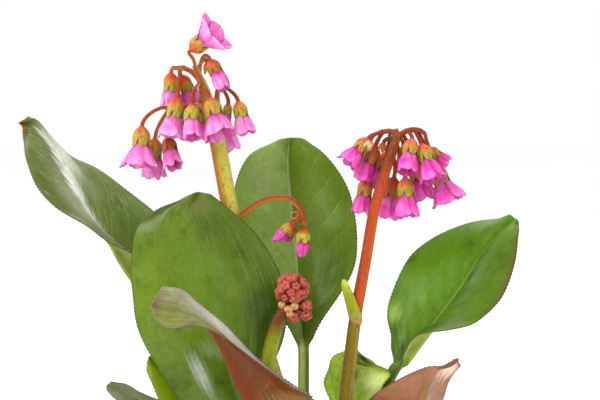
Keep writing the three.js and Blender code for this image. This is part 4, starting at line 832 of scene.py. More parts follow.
flowerMake = {"cupSides": 40, "cupRows": 13, "cupHeight": 7.9, "lobeHeight": 4.5, "wallShare": 0.62,
              "lobeShape": 0.62, "ribs": 10, "ribDepth": 0.14, "lobeFlare": 0.3,
              "cupFloor": [(7.6, 3.7, 0.2), (7.4, 1.2, 0.1)],
              "wall": [[0, 1.15], [1.2, 2.2], [2.8, 3.7], [5.4, 4.85], [8.2, 4.9], [12.6, 4.9]],
              "petalRows": 16, "petalColumns": 13, "petalThickness": 0.32, "petalHalfAngle": 46,
              "petalWidths": [[0, 0.2, 0.5, 1], [0.45, 0.8, 1, 1]], "flareSpread": 0.2, "twist": 0.1,
              "overlap": 0.5, "foldWidth": 0.16, "foldDepth": 0.3, "ruffles": 6.5, "ruffleHeight": 0.35,
              "closed": np.array([[8, 3.3], [11.2, 4.2], [15, 4.6], [19.6, 3.4], [23.4, 1.4]]),
              "open": np.array([[8, 3.3], [11.2, 4.2], [15, 6.5], [19.6, 8.9], [23.4, 10.6]]),
              "pedicelRadius": 1.05, "pedicelSteps": 12}  # wall, closed and open hold heights and radii


def flowerAxes(flower):
    axis = unit(np.array(flower["aim"], float))
    side = np.array([0.35, -1, 0.2])
    right = unit(side - axis * side.dot(axis))
    return np.array(flower["base"], float), axis, right, np.cross(axis, right)


def flowerPoint(flower, along, radius, angle):  # a place in the flower's own round frame
    base, axis, right, up = flowerAxes(flower)
    along, radius, angle = np.broadcast_arrays(along, radius, angle)
    out = radius * flower["size"] * flower.get("girth", 1)
    return (base + axis * (along * flower["size"])[..., None]
            + right * (out * np.cos(angle))[..., None] + up * (out * np.sin(angle))[..., None])


def pedicelPath(flower):
    base, axis, _, _ = flowerAxes(flower)
    start = np.array(flower["start"], float)
    reach = np.linalg.norm(base - start)
    t = np.linspace(0, 1, flowerMake["pedicelSteps"])[:, None]
    second = start + [0, 0, flower["rise"]]
    third = base - axis * 0.4 * reach
    return (start * (1 - t) ** 3 + second * 3 * t * (1 - t) ** 2 + third * 3 * t * t * (1 - t)
            + (base + axis * 0.6 * flower["size"]) * t ** 3)


def cupShape(flower):  # outer wall, five lobes at the rim, then back down inside to the floor
    make = flowerMake
    top, wallShare = make["cupHeight"], make["wallShare"]
    angle = turns(make["cupSides"])
    lobe = np.abs(np.cos(lobeTurns * angle)) ** make["lobeShape"]
    rim = top + make["lobeHeight"] * lobe
    wall = alongCurve(make["wall"], np.linspace(0, 1, 60))
    rows = []
    for v in np.linspace(0, 1, make["cupRows"]):
        lobeShare = (v - wallShare) / (1 - wallShare)
        height = np.where(v < wallShare, top * v / wallShare, top + (rim - top) * lobeShare)
        radius = np.interp(height, wall[:, 0], wall[:, 1])
        rib = make["ribDepth"] * np.cos(make["ribs"] * angle)
        radius = radius + rib * math.sin(math.pi * min(v * 1.2, 1))
        rows.append((height, radius + make["lobeFlare"] * (lobe - 0.4) * v ** 3, v))
    rows += [(rim - 0.35, 4.75, 1.05), (mix(rim, 8.2, 0.6), 4.35, 0.9), *make["cupFloor"]]
    rings = np.array([flowerPoint(flower, height, radius, angle) for height, radius, _ in rows])
    share = np.array([np.full_like(angle, v) for _, _, v in rows])
    return rings, share, np.tile(angle, (len(rings), 1))


def petalShapes(flower, seed):
    make = flowerMake
    rows, columns = make["petalRows"], make["petalColumns"]
    a = np.linspace(0, 1, rows)[:, None]  # from throat to tip
    b = np.sin(np.linspace(-0.5, 0.5, columns) * math.pi)[None, :]  # from edge to edge
    half = math.radians(make["petalHalfAngle"]) * np.interp(a, *make["petalWidths"])
    outline = np.sqrt(np.clip(1 - np.clip((a - 0.6) / 0.402, 0, 1) ** 2.5, 0, 1))  # the round tip
    randoms = np.random.default_rng(seed)
    shapes = []
    for middle in (np.arange(5) + 0.5) * fullTurn / 5:
        bend, roll, stretch, twist = randoms.uniform(-1, 1, 4)
        flare = np.clip(flower["flare"] + make["flareSpread"] * bend, 0, 1.15) if flower["flare"] > 0 else 0.0
        height, radius = np.split(alongCurve(mix(make["closed"], make["open"], flare), a[:, 0]), 2, axis=1)
        fold = np.exp(-((b - 0.3 * bend) / make["foldWidth"]) ** 2)
        below = smooth(a, 0.1, 0.5)
        angle = middle + b * half * np.maximum(outline, 0.05) + make["twist"] * twist * a ** 2
        radius = radius + make["overlap"] * b * smooth(a, 0.05, 0.4) - make["foldDepth"] * fold * below
        radius = radius + (0.9 * flare * a ** 2 - 0.35) * b * b * smooth(a, 0.1, 0.6)
        wave = make["ruffles"] * b + 3 * roll
        radius = (radius + (0.2 + make["ruffleHeight"] * flare) * np.sin(wave) * a ** 3
                  + 0.6 * flare * roll * smooth(a, 0.7, 1))
        height = height + 0.7 * stretch * a ** 2 + 0.35 * np.sin(8 * b + 4 * bend) * a ** 4
        height = height - 0.35 * np.exp(-(b / 0.2) ** 2) * smooth(a, 0.85, 1)
        thick = make["petalThickness"] / flower["size"] / 2 * mix(1.0, 0.6, a)
        outer = flowerPoint(flower, height, radius + thick, angle)
        inner = flowerPoint(flower, height, radius - thick, angle)
        across = np.tile(np.hstack([b, b[:, ::-1]]) * 0.5 + 0.5, (rows, 1))
        maps = np.stack([across, np.tile(a, (1, 2 * columns))], axis=-1)
        # painted shade in the fold, towards the edges where petals overlap and along the ruffles, added to
        # each petal's own random tone; the inner face is darker as well
        crease = 0.28 * fold * below + 0.75 * smooth(np.abs(b), 0.72, 1) * (1 - 0.55 * a)
        ruffle = 0.3 * np.sin(wave + 1.2) * a ** 2
        own = 0.42 * (0.5 + 0.5 * twist)
        tone = np.hstack([own + crease + ruffle, own + crease[:, ::-1] + 0.4])
        shapes.append((np.concatenate([outer, inner[:, ::-1]], axis=1), maps, np.clip(tone, 0, 1)))
    return shapes


def petalMaterial(name, look):
    skin = Skin(name)
    look = painted(look)
    across, along = skin.spot()
    soft, grain = skin.noise(160.0, 2.0), skin.noise(1400.0, 3.0, 0.6)
    wave = abs(((across - 0.5) * look["veins"] + soft * 1.2).math("FRACT") - 0.5)
    vein = wave.ease(0.14, 0.0) * along.ease(1.0, 0.55)
    rim = abs(across - 0.5).ease(0.44, 0.5).largest(along.ease(0.95, 1.0, 0.0, 0.7))
    tint = blend(along.ease(0.15, 0.6), look["throat"], look["body"])
    tint = blend(along.ease(0.62, 1.0), tint, look["tip"])
    tint = blend(soft.ease(0.35, 0.7) * 0.45, tint, look["pale"])
    # each petal's own tone and its painted shade in folds, overlapping edges and ruffles, towards the deep
    # colour
    tint = blend(skin.layer("tone") * look["toneStrength"], tint, look["deep"])
    tint = blend(vein * look["veinStrength"], tint, look["veinColour"])
    tint = blend(rim * 0.75, tint, look["edge"])
    return skin.finish(tint, grain.ease(0.3, 0.7, 0.42, 0.6), grain + vein * -1.5, 0.00008, 0.6, shine=0.2,
                       glow=0.35, glowRadius=(1.0, 0.45, 0.8), glowScale=0.003)


petalLooks = {
    "left": dict(
        throat=(214, 44, 140), body=(255, 122, 208, 0.78), tip=(255, 150, 222, 0.85),
        pale=(255, 200, 240, 0.85), deep=(222, 28, 140, 0.65), toneStrength=0.85, veins=9.0, veinStrength=0.4,
        veinColour=(222, 50, 160), edge=(236, 96, 186, 0.7)),
    "right": dict(
        throat=(160, 6, 80), body=(255, 56, 180, 0.85), tip=(255, 100, 206, 0.9), pale=(255, 150, 228, 0.9),
        deep=(190, 0, 86, 0.65), toneStrength=0.85, veins=9.0, veinStrength=0.4, veinColour=(186, 10, 100),
        edge=(186, 14, 104)),
}


def corollaPiece(node, flower, material, slot, seed):
    parts = Parts()
    for rings, maps, tone in petalShapes(flower, seed):
        parts.add(rings, values=tone, maps=maps)
    return stands(parts.make(node.replace("corolla_", "petals_"), material), slot, node)


leftPetals = petalMaterial("petals_pale_skin", petalLooks["left"])
rightPetals = petalMaterial("petals_deep_skin", petalLooks["right"])
for place, flowers, material, slot, firstSeed in (("left", leftFlowers, leftPetals, "petals_pale", 100),
                                                  ("right", rightFlowers, rightPetals, "petals_deep", 200),
                                                  ("side", sideBuds, rightPetals, "petals_deep", 300)):
    for index, flower in enumerate(flowers):
        corollaPiece(f"corolla_{place}_{index + 1:02d}", flower, material, slot, firstSeed + index)
print("corollas made:", len(leftFlowers) + len(rightFlowers) + len(sideBuds))


# Stems with their flower cups

# left, right, lowLeft and lowRight colour the stem's two sides: partly its own flush, partly painted light on
# the right side and painted shade on the left
stemLooks = {
    "left": dict(
        low=(200, 196, 74, 0.7), high=(160, 54, 18), left=(182, 104, 40, 0.66), right=(232, 234, 140, 0.85),
        lowLeft=(178, 88, 26, 0.66), edgeFrom=-0.1, lowRight=(214, 214, 104, 0.72), crown=(154, 48, 16),
        crownFrom=326, branch=(172, 46, 18), belly=(196, 140, 40), cupBase=(232, 66, 22, 0.64),
        cupMiddle=(218, 140, 62, 0.62), cupLobe=(176, 198, 62, 0.64), cupStain=(84, 110, 10), flushFrom=300,
        flushTo=318),
    "right": dict(
        edgeFrom=0.15, low=(144, 138, 0), high=(212, 74, 16, 0.62), left=(140, 70, 40),
        right=(230, 124, 60, 0.66), lowLeft=(112, 78, 20), lowRight=(206, 176, 110, 0.6), crown=(150, 68, 30),
        crownFrom=262, branch=(150, 40, 36), belly=(190, 84, 44), cupBase=(240, 84, 56, 0.66),
        cupMiddle=(240, 122, 76, 0.66), cupLobe=(178, 190, 56, 0.6), cupStain=(186, 60, 50), flushFrom=186,
        flushTo=200),
    "bud": dict(
        low=(152, 170, 10, 0.62), high=(110, 46, 6), left=(110, 40, 10), right=(130, 80, 30),
        lowLeft=(116, 112, 0), lowRight=(196, 206, 80, 0.64), crown=(104, 36, 10), edgeFrom=0.15,
        crownFrom=190, branch=(130, 50, 24), belly=(160, 124, 50), flushFrom=178, flushTo=193),
}
cupKinds = {  # cups that look unlike the others of their stem
    "red": dict(
        cupBase=(206, 60, 30, 0.6), cupMiddle=(214, 92, 56, 0.6), cupLobe=(196, 110, 56, 0.6),
        cupStain=(130, 150, 40)),
    "cream": dict(
        cupBase=(150, 34, 24), cupMiddle=(222, 170, 110), cupLobe=(240, 222, 170, 0.7),
        cupStain=(214, 150, 90)),
    "lime": dict(
        cupBase=(222, 70, 26, 0.6), cupMiddle=(200, 196, 60, 0.6), cupLobe=(186, 204, 60, 0.62),
        cupStain=(150, 170, 40)),
}
fleshLook = dict(streak=0.3, streakScale=900.0, streakStretch=0.12, streakColour=(186, 96, 48), dots=0.35,
                 dotScale=1500.0, dotColour=(235, 215, 150), mottle=0.6, mottleScale=480.0,
                 mottleColour=(140, 62, 26), relief=0.00012, gloss=(0.35, 0.55), coat=0.06)
leftFlesh = fleshMaterial("flower_stem_left_skin", fleshLook)
rightFlesh = fleshMaterial("flower_stem_right_skin", {**fleshLook, "streakColour": (150, 50, 24)})
budFlesh = fleshMaterial("bud_stem_skin", {**fleshLook, "streakColour": (110, 40, 20)})

stemMake = {"sides": 18, "stepLength": 2.2, "fewestSteps": 12, "pedicelSteps": 22, "branchGap": [5.6, 8.0],
            "crownFade": 18, "rightEdgeFrom": 0.15, "edgeWidth": 0.8, "edgeStrength": 0.75}


def addSpline(curve, points, radii, steps=None):
    points = np.asarray(points, float)
    straight = np.linalg.norm(np.diff(points, axis=0), axis=1).sum()
    steps = steps or max(stemMake["fewestSteps"], int(straight / stemMake["stepLength"]))
    t = np.linspace(0, 1, steps)
    run = alongCurve(points, t) * millimetre
    spline = curve.splines.new("POLY")
    spline.points.add(steps - 1)
    spline.points.foreach_set("co", np.hstack([run, np.ones((steps, 1))]).ravel())
    spline.points.foreach_set("radius", np.interp(t, np.linspace(0, 1, len(radii)), radii))


def sweptStems(name, stems, flowers, material):
    curve = bpy.data.curves.new(name, "CURVE")
    curve.dimensions = "3D"
    for stem in stems:
        rows = np.array(stem, float)
        addSpline(curve, rows[:, :3], rows[:, 3])
    radius = flowerMake["pedicelRadius"]
    for flower in flowers:
        addSpline(curve, pedicelPath(flower), [radius, radius * 0.95, radius * 1.1], stemMake["pedicelSteps"])
    carrier = linkObject(name, curve)
    mesh = runTree(name, carrier, sweepTree(material), Sides=stemMake["sides"], Girth=millimetre)
    dropObject(carrier)
    return readMesh(mesh)


def stemTint(points, normals, look, mainStem):  # other colours at both sides, on top and on branches; the side colours are partly the stem's own red flush and partly painted light and shade, lighter on the right and darker on the left
    z = points[:, 2]
    spine = alongCurve(mainStem, np.linspace(0, 1, 300))[:, :3]
    nearest = np.abs(spine[:, 2][None, :] - z[:, None]).argmin(axis=1)
    gap = np.linalg.norm((points - spine[nearest])[:, :2], axis=1)
    onBranch = smooth(gap, *stemMake["branchGap"])[:, None]
    height = smooth(z, look["flushFrom"], look["flushTo"])[:, None]
    crown = smooth(z, look["crownFrom"], look["crownFrom"] + stemMake["crownFade"])[:, None]
    tint = mix(mix(look["low"], look["high"], height), look["crown"], crown)
    # painted light and shade by the normals' sideways direction, over the stem's own flush
    for way, low, high, start in ((-1, "lowLeft", "left", look["edgeFrom"]),
                                  (1, "lowRight", "right", stemMake["rightEdgeFrom"])):
        amount = smooth(way * normals[:, 0], start, start + stemMake["edgeWidth"])[:, None]
        tint = mix(tint, mix(look[low], look[high], height), amount * stemMake["edgeStrength"])
    branch = mix(look["branch"], look["belly"], smooth(-normals[:, 2], -0.25, 0.5)[:, None])
    return mix(tint, branch, onBranch)


def cupTint(share, angle, look, seed):  # red at the base, green lobes, stains in between
    randoms = np.random.default_rng(seed)
    warm, green, way = randoms.uniform(-0.12, 0.12), randoms.uniform(0.45, 1), randoms.choice([-0.3, 0.3])
    s = (share + warm)[..., None]
    rib = (0.5 + 0.5 * np.cos(5 * angle))[..., None]
    blot = np.sin(13 * angle + 5 * share + randoms.uniform(0, 6)) * np.sin(9 * share + 4 * angle)
    stain = smooth((0.5 + 0.5 * blot)[..., None], 0.55, 0.9) * smooth(s, 0.35, 0.7) * 0.7
    tint = mix(look["cupBase"], look["cupMiddle"], smooth(s + 0.15 * (rib - 0.5), 0.06, 0.42))
    tint = mix(tint, look["cupLobe"], smooth(s + way * (rib - 0.5), 0.24, 0.66) * green)
    tint = mix(tint, look["cupStain"], stain)
    return mix(tint, look["cupLobe"] * 0.45, smooth(s, 0.86, 1.0) * smooth(rib, 0.5, 1.0) * 0.6)


bractMake = {"columns": 9, "thickness": 0.55, "across": [0.9, -0.35, 0.1], "out": [-0.25, -0.95, 0],
             "foot": (214, 166, 112, 0.6), "blade": (164, 190, 20, 0.6), "tip": (206, 226, 80, 0.66),
             "rows": [([31.2, -8.6, 185.5], 1.6, 0.2), ([31.0, -9.0, 188.5], 3.5, 0.9),
                      ([30.2, -9.4, 192], 4.0, 1.5), ([29.0, -9.8, 196], 3.7, 1.4),
                      ([27.6, -9.9, 200.5], 3.3, 1.1), ([26.3, -9.8, 204], 3.0, 1.0),
                      ([25.2, -9.6, 207.5], 2.6, 0.8), ([24.3, -9.4, 210.6], 1.8, 0.5),
                      ([23.8, -9.3, 212], 0.8, 0.2)]}  # middle, half width and hollow


def bractShape():  # the small leaf that clasps the right stem
    make = painted(bractMake)
    across, out = unit(np.array(make["across"])), np.array(make["out"])
    b = np.linspace(-1, 1, make["columns"])[:, None]
    rings = []
    for middle, half, hollow in make["rows"]:
        front = np.array(middle) + across * half * b + out * hollow * (1 - b * b)
        behind = hollow * (1 - b * b) - make["thickness"]
        back = np.array(middle) + across * half * 0.97 * b[::-1] + out * behind
        rings.append(np.concatenate([front, back]))
    rings = np.array(rings)
    z = rings[..., 2][..., None]
    return rings, mix(mix(make["foot"], make["blade"], smooth(z, 187, 196)), make["tip"], smooth(z, 203, 211))


def stemPiece(name, node, stems, flowers, look, material, seed, extra=()):
    look = painted(look)
    points, faces, normals = sweptStems(name + "Paths", stems, flowers, material)
    parts = Parts()
    parts.add(points, faces, stemTint(points, normals, look, stems[0]))
    for index, flower in enumerate(flowers):
        rings, share, angle = cupShape(flower)
        kind = painted(cupKinds.get(flower.get("kind"), {}))
        parts.add(rings, tints=cupTint(share, angle, {**look, **kind}, seed + index))
    for rings, tints in extra:
        parts.add(rings, tints=tints)
    return stands(parts.make(name, material), node, node)


leftStem = stemPiece("leftFlowerStem", "flower_stem_left", leftStems, leftFlowers + sideBuds + leftCups,
                     stemLooks["left"], leftFlesh, 900)
rightStem = stemPiece("rightFlowerStem", "flower_stem_right", rightStems, rightFlowers + rightCups,
                      stemLooks["right"], rightFlesh, 950, [bractShape()])
print("flower stems made")


# Stamens in the open flowers

stamenMake = {"perFlower": 8, "ringRadius": 2.6, "spread": 1.25, "rootHeight": 7.6, "length": 10, "size": 1.0,
              "sides": 5, "growth": [0.85, 1.1], "pale": (250, 200, 220), "gold": (196, 120, 40),
              "rows": [(0, 0.2, 0), (5, 0.16, 0.3), (9.4, 0.14, 0.9), (9.6, 0.5, 0.95), (10.4, 0.62, 1.0),
                       (11.2, 0.35, 1.05)]}  # height, radius and bend: a thin stalk and its anther
stamenSkin = fleshMaterial("stamen_skin", {**fleshLook, "streak": 0.0, "dots": 0.1, "mottle": 0.0})


def stamenObject(material):
    make = painted(stamenMake)
    rows, sides = make["rows"], make["sides"]
    rings = ovalRings([(r, z) for z, r, _ in rows], sides)
    rings[..., 0] += np.array([bend for _, _, bend in rows])[:, None]
    tints = np.repeat([make["pale"]] * 3 + [make["gold"]] * 3, sides, axis=0)
    return makeObject("stamenShape", rings, ringFaces(len(rows), sides, "plates"), material, tints=tints)


def stamenPiece(name, flowers, slot):
    make = stamenMake
    count, radius, rootHeight = make["perFlower"], make["ringRadius"], make["rootHeight"]
    spots, aims, grows = [], [], []
    for flower in flowers:
        for k in range(count):
            angle = fullTurn * (k + 0.3) / count
            root = flowerPoint(flower, rootHeight, radius, angle)
            head = flowerPoint(flower, rootHeight + make["length"], radius * make["spread"], angle)
            spots.append(root)
            aims.append(head - root)
            grows.append(flower["size"] * mix(*make["growth"], (k * 0.37) % 1))
    carrier = makeObject(name + "Spots", spots, [])
    addLayer(carrier.data, "aim", aims, "FLOAT_VECTOR")
    addLayer(carrier.data, "grow", grows)
    shape = stamenObject(stamenSkin)
    made = runTree(name, carrier, aimedTree(name + "Tree", stamenSkin), Shape=shape, Size=make["size"])
    dropObject(carrier)
    dropObject(shape)
    return stands(linkObject(name, made), slot)


stamenPiece("leftStamens", leftFlowers, "petals_pale")
stamenPiece("rightStamens", rightFlowers, "petals_deep")
print("stamens made")


# The young bud head: closed buds packed round a core

budMake = {"centre": [-4.2, -28, 208.8], "coreRadius": 6.6, "radius": 7.0, "buds": 27, "budSize": 2.85,
           "lumps": [[-3.6, -28, 193.6], [3.2, -27, 195], [3.6, -29, 200.2], [0, -24.5, 196.5]],
           "lumpRadius": 1.5, "lumpBuds": 6, "lumpBudSize": 2.3, "lumpGlow": [0.1, 1.0, 0.4, 0.5],
           "creamBuds": [[-9.6, -30, 200.4], [-6.2, -32, 198.2], [-3.0, -32, 200.0], [-5.4, -31, 195.6]],
           "creamSize": 2.2, "fork": [-7, -28, 200], "budSides": 25, "coreRows": 13, "coreSides": 24,
           "lobeRise": 0.16, "lobeReach": 0.28, "tilt": 0.16, "lean": 0.25, "growth": [0.8, 1.2],
           "depth": [0.88, 1.06], "seed": 71,
           "profile": [(-1.1, 0.4), (-0.6, 0.85), (-0.1, 1.0), (0.3, 0.96), (0.58, 0.72), (0.66, 0.42),
                       (0.5, 0.16), (0.42, 0.04)]}
budLook = dict(core=(96, 22, 24), deep=(160, 40, 40, 0.6), bright=(222, 100, 92, 0.65),
               cream=(232, 176, 120, 0.65), mouth=(60, 12, 16), creamLow=(206, 110, 70),
               creamHigh=(238, 190, 130, 0.7))


def budShape(centre, axis, size, turn):  # five sepals that close over a small mouth, which budCluster paints dark as shade
    make = budMake
    profile, angle = make["profile"], turns(make["budSides"])
    star = np.abs(np.cos(lobeTurns * angle + turn))
    lobes = star ** 0.6 - 0.6
    right = unit(np.cross(axis, [0.3, 0.9, 0.25]))
    ring = np.cos(angle)[:, None] * right + np.sin(angle)[:, None] * np.cross(axis, right)
    rings = [centre + axis * (along + make["lobeRise"] * lobes[:, None]) * size
             + (radius * size * (1 + make["lobeReach"] * lobes * smooth(along, -0.8, 0.4)))[:, None] * ring
             for along, radius in profile]
    share = np.tile(np.arange(len(profile))[:, None] / (len(profile) - 1), (1, len(angle)))
    return np.array(rings), share, np.tile(star, (len(rings), 1))


def budCluster(parts, centre, radius, count, size, randoms, glow):  # buds spread evenly over a ball
    make, look = budMake, painted(budLook)
    goldenTurn = math.pi * (3 - math.sqrt(5))
    for k in range(count):
        height = 1 - 2 * (k + 0.5) / count
        wide = math.sqrt(1 - height * height)
        axis = unit(np.array([wide * math.cos(k * goldenTurn), wide * math.sin(k * goldenTurn), height])
                    + randoms.uniform(-make["tilt"], make["tilt"], 3))
        grown = size * randoms.uniform(*make["growth"])
        spot = np.array(centre) + axis * radius * randoms.uniform(*make["depth"])
        aim = unit(axis + randoms.uniform(-make["lean"], make["lean"], 3))
        rings, share, lobe = budShape(spot, aim, grown, randoms.uniform(0, 6))
        low = smooth(-axis[2], 0.25, 0.9) * glow
        flush = (smooth(share, 0.2, 0.6) * mix(0.45, 1, lobe))[..., None] * randoms.uniform(0.75, 1)
        tint = mix(look["deep"], look["bright"], flush)
        tint = mix(tint, look["cream"], (smooth(share, 0.45, 0.7) * mix(0.12, 0.75, low) * lobe)[..., None])
        # painted shadow in each bud's mouth, where the sepals close
        shadow = smooth(share, 0.76, 0.88)[..., None] * randoms.choice([0.25, 0.5, 1.0])
        tint = mix(tint, look["mouth"], shadow)
        parts.add(rings, tints=tint)


def budHeadPiece():
    m, look, stemLook = budMake, painted(budLook), painted(stemLooks["bud"])
    fork = np.array(m["fork"], float)
    stems = budStems + [[[*fork, 1.8], [*(fork + spot) / 2, 1.6], [*spot, 1.4]] for spot in m["lumps"]]
    points, faces, normals = sweptStems("budStemPaths", stems, [], budFlesh)
    parts = Parts()
    parts.add(points, faces, stemTint(points, normals, stemLook, budStems[0]))
    core = ballRings(m["coreRows"], m["coreSides"], [m["coreRadius"]] * 3) + m["centre"]
    parts.add(core, tints=np.tile(look["core"], (*core.shape[:2], 1)))
    randoms = np.random.default_rng(m["seed"])
    budCluster(parts, m["centre"], m["radius"], m["buds"], m["budSize"], randoms, 1.0)
    for spot, glow in zip(m["lumps"], m["lumpGlow"]):
        budCluster(parts, spot, m["lumpRadius"], m["lumpBuds"], m["lumpBudSize"], randoms, glow)
    for spot in m["creamBuds"]:
        rings, share, lobe = budShape(np.array(spot), unit(np.subtract(spot, m["centre"]) + [0, -6, 0]),
                                      m["creamSize"], spot[0])
        flush = (smooth(share, 0.1, 0.5) * mix(0.4, 1, lobe))[..., None]
        parts.add(rings, tints=mix(look["creamLow"], look["creamHigh"], flush))
    return stands(parts.make("youngBudStem", budFlesh), "bud_stem", "bud_stem")


budHeadPiece()
print("bud head made")


# Short glandular hairs on the stems

hairMake = {"density": 60000.0, "smallest": 0.6, "largest": 1.2, "tint": (214, 130, 96), "radius": 0.05,
            "tip": [0.03, 0, 0.55]}


def hairPiece(name, carrier, material, slot, seed):
    make = painted(hairMake)
    points = np.vstack([ovalRings([(make["radius"], 0)], 3)[0], make["tip"]])
    shape = makeObject("hairShape", points, [(0, 1, 3), (1, 2, 3), (2, 0, 3), (2, 1, 0)], material)
    mesh = runTree(name, carrier, scatterTree(name + "Tree", material), Shape=shape, Density=make["density"],
                   Smallest=make["smallest"], Largest=make["largest"], Seed=seed)
    dropObject(shape)
    addLayer(mesh, "tint", np.tile(make["tint"], len(mesh.vertices)), "FLOAT_COLOR")
    return stands(linkObject(name, mesh), slot)


hairPiece("leftStemHairs", leftStem, leftFlesh, "flower_stem_left", 4)
hairPiece("rightStemHairs", rightStem, rightFlesh, "flower_stem_right", 5)
print("hairs made")


# Pot

potMake = {"height": 105, "rimRadius": 65, "baseRadius": 47, "wall": 2, "floor": 2.6, "collar": 17,
           "step": 2.4, "sides": 120, "wallRows": 24, "foot": 1.6, "holeRing": 31, "holeRadius": 4,
           "holes": 6, "holeSides": 24, "holeOverlap": 2, "shoulder": [(0.6, -0.6)],
           "collarSide": [(-0.9, -0.2), (-0.6, 0.5), (-0.35, 8)],
           "lip": [(-0.05, -1.2), (-0.3, -0.3), (-1.0, 0)], "lipInside": [(0.3, -0.2), (0, -1)],
           "dark": (36, 36, 37), "light": (50, 49, 49), "dust": (112, 100, 84)}


def potMaterial():
    skin, look = Skin("pot_skin"), painted(potMake)
    speck, dust = skin.noise(1800.0, 3.0, 0.6), skin.noise(22.0, 4.0, 0.6)
    grime = dust.ease(0.48, 0.75) * skin.where.part(2).ease(0.0, 0.1, 1.0, 0.35)
    tint = blend(speck.ease(0.4, 0.7), look["dark"], look["light"])
    tint = blend(grime * 0.35, tint, look["dust"])
    return skin.finish(tint, speck.ease(0.3, 0.7, 0.45, 0.62), speck, 0.0001, 0.5)


def potPiece():
    m = potMake
    base, rim, height, wall, foot = m["baseRadius"], m["rimRadius"], m["height"], m["wall"], m["foot"]
    low, top = height - m["collar"], rim - m["step"]
    side = [(base, foot)] + [(mix(base, top - 0.6, part), mix(foot, low - 1, part))
                             for part in np.linspace(0, 1, m["wallRows"])[1:]]
    outline = [(0.4, 0), (base - foot, 0), (base - 0.5, 0.4), *side]
    for corners, radius, level in (("shoulder", top, low), ("collarSide", rim, low), ("lip", rim, height),
                                   ("lipInside", rim - wall, height)):
        outline += [(radius + out, level + up) for out, up in m[corners]]
    outline += [(top - wall, low - 3), (base - wall, m["floor"]), (0.4, m["floor"])]
    points = ovalRings(outline, m["sides"]).reshape(-1, 3)
    faces = faceOutwards(points, ringFaces(len(outline), m["sides"], "plates"))
    material = potMaterial()
    pot = makeObject("nurseryPot", points, faces, material)
    drills = Parts()
    for angle in turns(m["holes"]):
        centre = np.array([m["holeRing"] * math.cos(angle), m["holeRing"] * math.sin(angle), 0])
        ends = [(m["holeRadius"], -m["holeOverlap"]), (m["holeRadius"], m["floor"] + m["holeOverlap"])]
        drills.add(ovalRings(ends, m["holeSides"]) + centre)
    cutter = drills.make("potDrills", material)
    cut = pot.modifiers.new("holes", "BOOLEAN")
    cut.operation, cut.object, cut.solver = "DIFFERENCE", cutter, "EXACT"
    pot.data = keptMesh(pot, cut)
    dropObject(cutter)
    for face in pot.data.polygons:  # flat floor and holes, smooth walls
        face.use_smooth = len(face.vertices) == 4 and abs(face.normal.z) < 0.98
    return stands(pot, "pot", "pot")


potPiece()
print("pot made")


# Compost with bark crumbs and perlite

soilMake = {"radius": 61.3, "rings": 46, "sides": 120, "wall": [(44.7, 2.9), (60.2, 85), (61.3, 93)],
            "flatFrom": 58, "discRadius": 59.5, "discRings": 24, "discSides": 60, "discLift": 0.2,
            "waveHeight": 0.8, "broadWave": [0.16, 0.19], "smallWave": [0.4, 0.33],
            "roughness": [(3.2, 2.0, 0.7), (1.4, 8.0, 0.35)]}
soilLook = dict(dark=(38, 25, 18), light=(66, 46, 34), fleck=(104, 78, 56), patchScale=90.0, grainScale=900.0,
                rough=(0.8, 0.98), depth=0.0006)
crumbLook = dict(dark=(44, 28, 20), light=(84, 56, 38), fleck=(120, 88, 60), toneColour=(30, 20, 15),
                 toneStrength=0.5, patchScale=200.0, grainScale=1200.0, rough=(0.75, 0.95), depth=0.0004)
perliteLook = dict(dark=(206, 202, 192), light=(238, 236, 228), fleck=(180, 170, 150), patchScale=300.0,
                   grainScale=1500.0, rough=(0.7, 0.9), depth=0.0003)


def soilRings(radii, sides):  # rings on the wavy top of the compost
    rings = ovalRings([(r, 0) for r in radii], sides)
    x, y = rings[..., 0], rings[..., 1]
    (bx, by), (sx, sy) = soilMake["broadWave"], soilMake["smallWave"]
    wave = np.sin(bx * x + 1) * np.cos(by * y) + 0.5 * np.sin(sx * x - sy * y)
    rings[..., 2] = soilTop + soilMake["waveHeight"] * wave
    return rings


def soilPiece():
    m = soilMake
    rings = soilRings((np.sqrt(np.linspace(0.0002, 1, m["rings"])) * m["radius"])[::-1], m["sides"])
    rough = roughness(rings.reshape(-1, 3), m["roughness"]).reshape(rings.shape[:2])
    rings[..., 2] += rough * smooth(np.linalg.norm(rings[..., :2], axis=-1), m["radius"], m["flatFrom"])
    points = np.concatenate([ovalRings(m["wall"], m["sides"]), rings]).reshape(-1, 3)
    faces = faceOutwards(points, ringFaces(m["rings"] + len(m["wall"]), m["sides"], "plates"))
    soil = makeObject("compost", points, faces, earthyMaterial("compost_skin", soilLook))
    return stands(soil, "soil", "soil")


crumbMake = dict(squash=(1.5, 0.9, 0.6), rounds=1, density=150000.0, smallest=0.5, largest=1.5, seed=3,
                 roughness=[(0.7, 3, 0.45)])
perliteMake = dict(squash=(1.0, 0.9, 0.8), rounds=2, density=5200.0, smallest=0.7, largest=1.5, seed=8,
                   roughness=[(0.7, 8, 0.45)])


def stoneObject(name, make, material):
    bpy.ops.mesh.primitive_ico_sphere_add(subdivisions=make["rounds"], radius=1.0)
    points, faces, _ = readMesh(bpy.context.object.data)
    dropObject(bpy.context.object)
    ball = points * millimetre
    return makeObject(name, ball * (1 + roughness(ball, make["roughness"]))[:, None] * make["squash"], faces,
                      material)


def soilDisc(material):  # carries what lies on the compost
    m = soilMake
    disc = soilRings(np.linspace(m["discRadius"], 0.5, m["discRings"]), m["discSides"])
    return makeObject("soilDisc", disc + [0, 0, m["discLift"]], ringFaces(*disc.shape[:2], "open"), material)


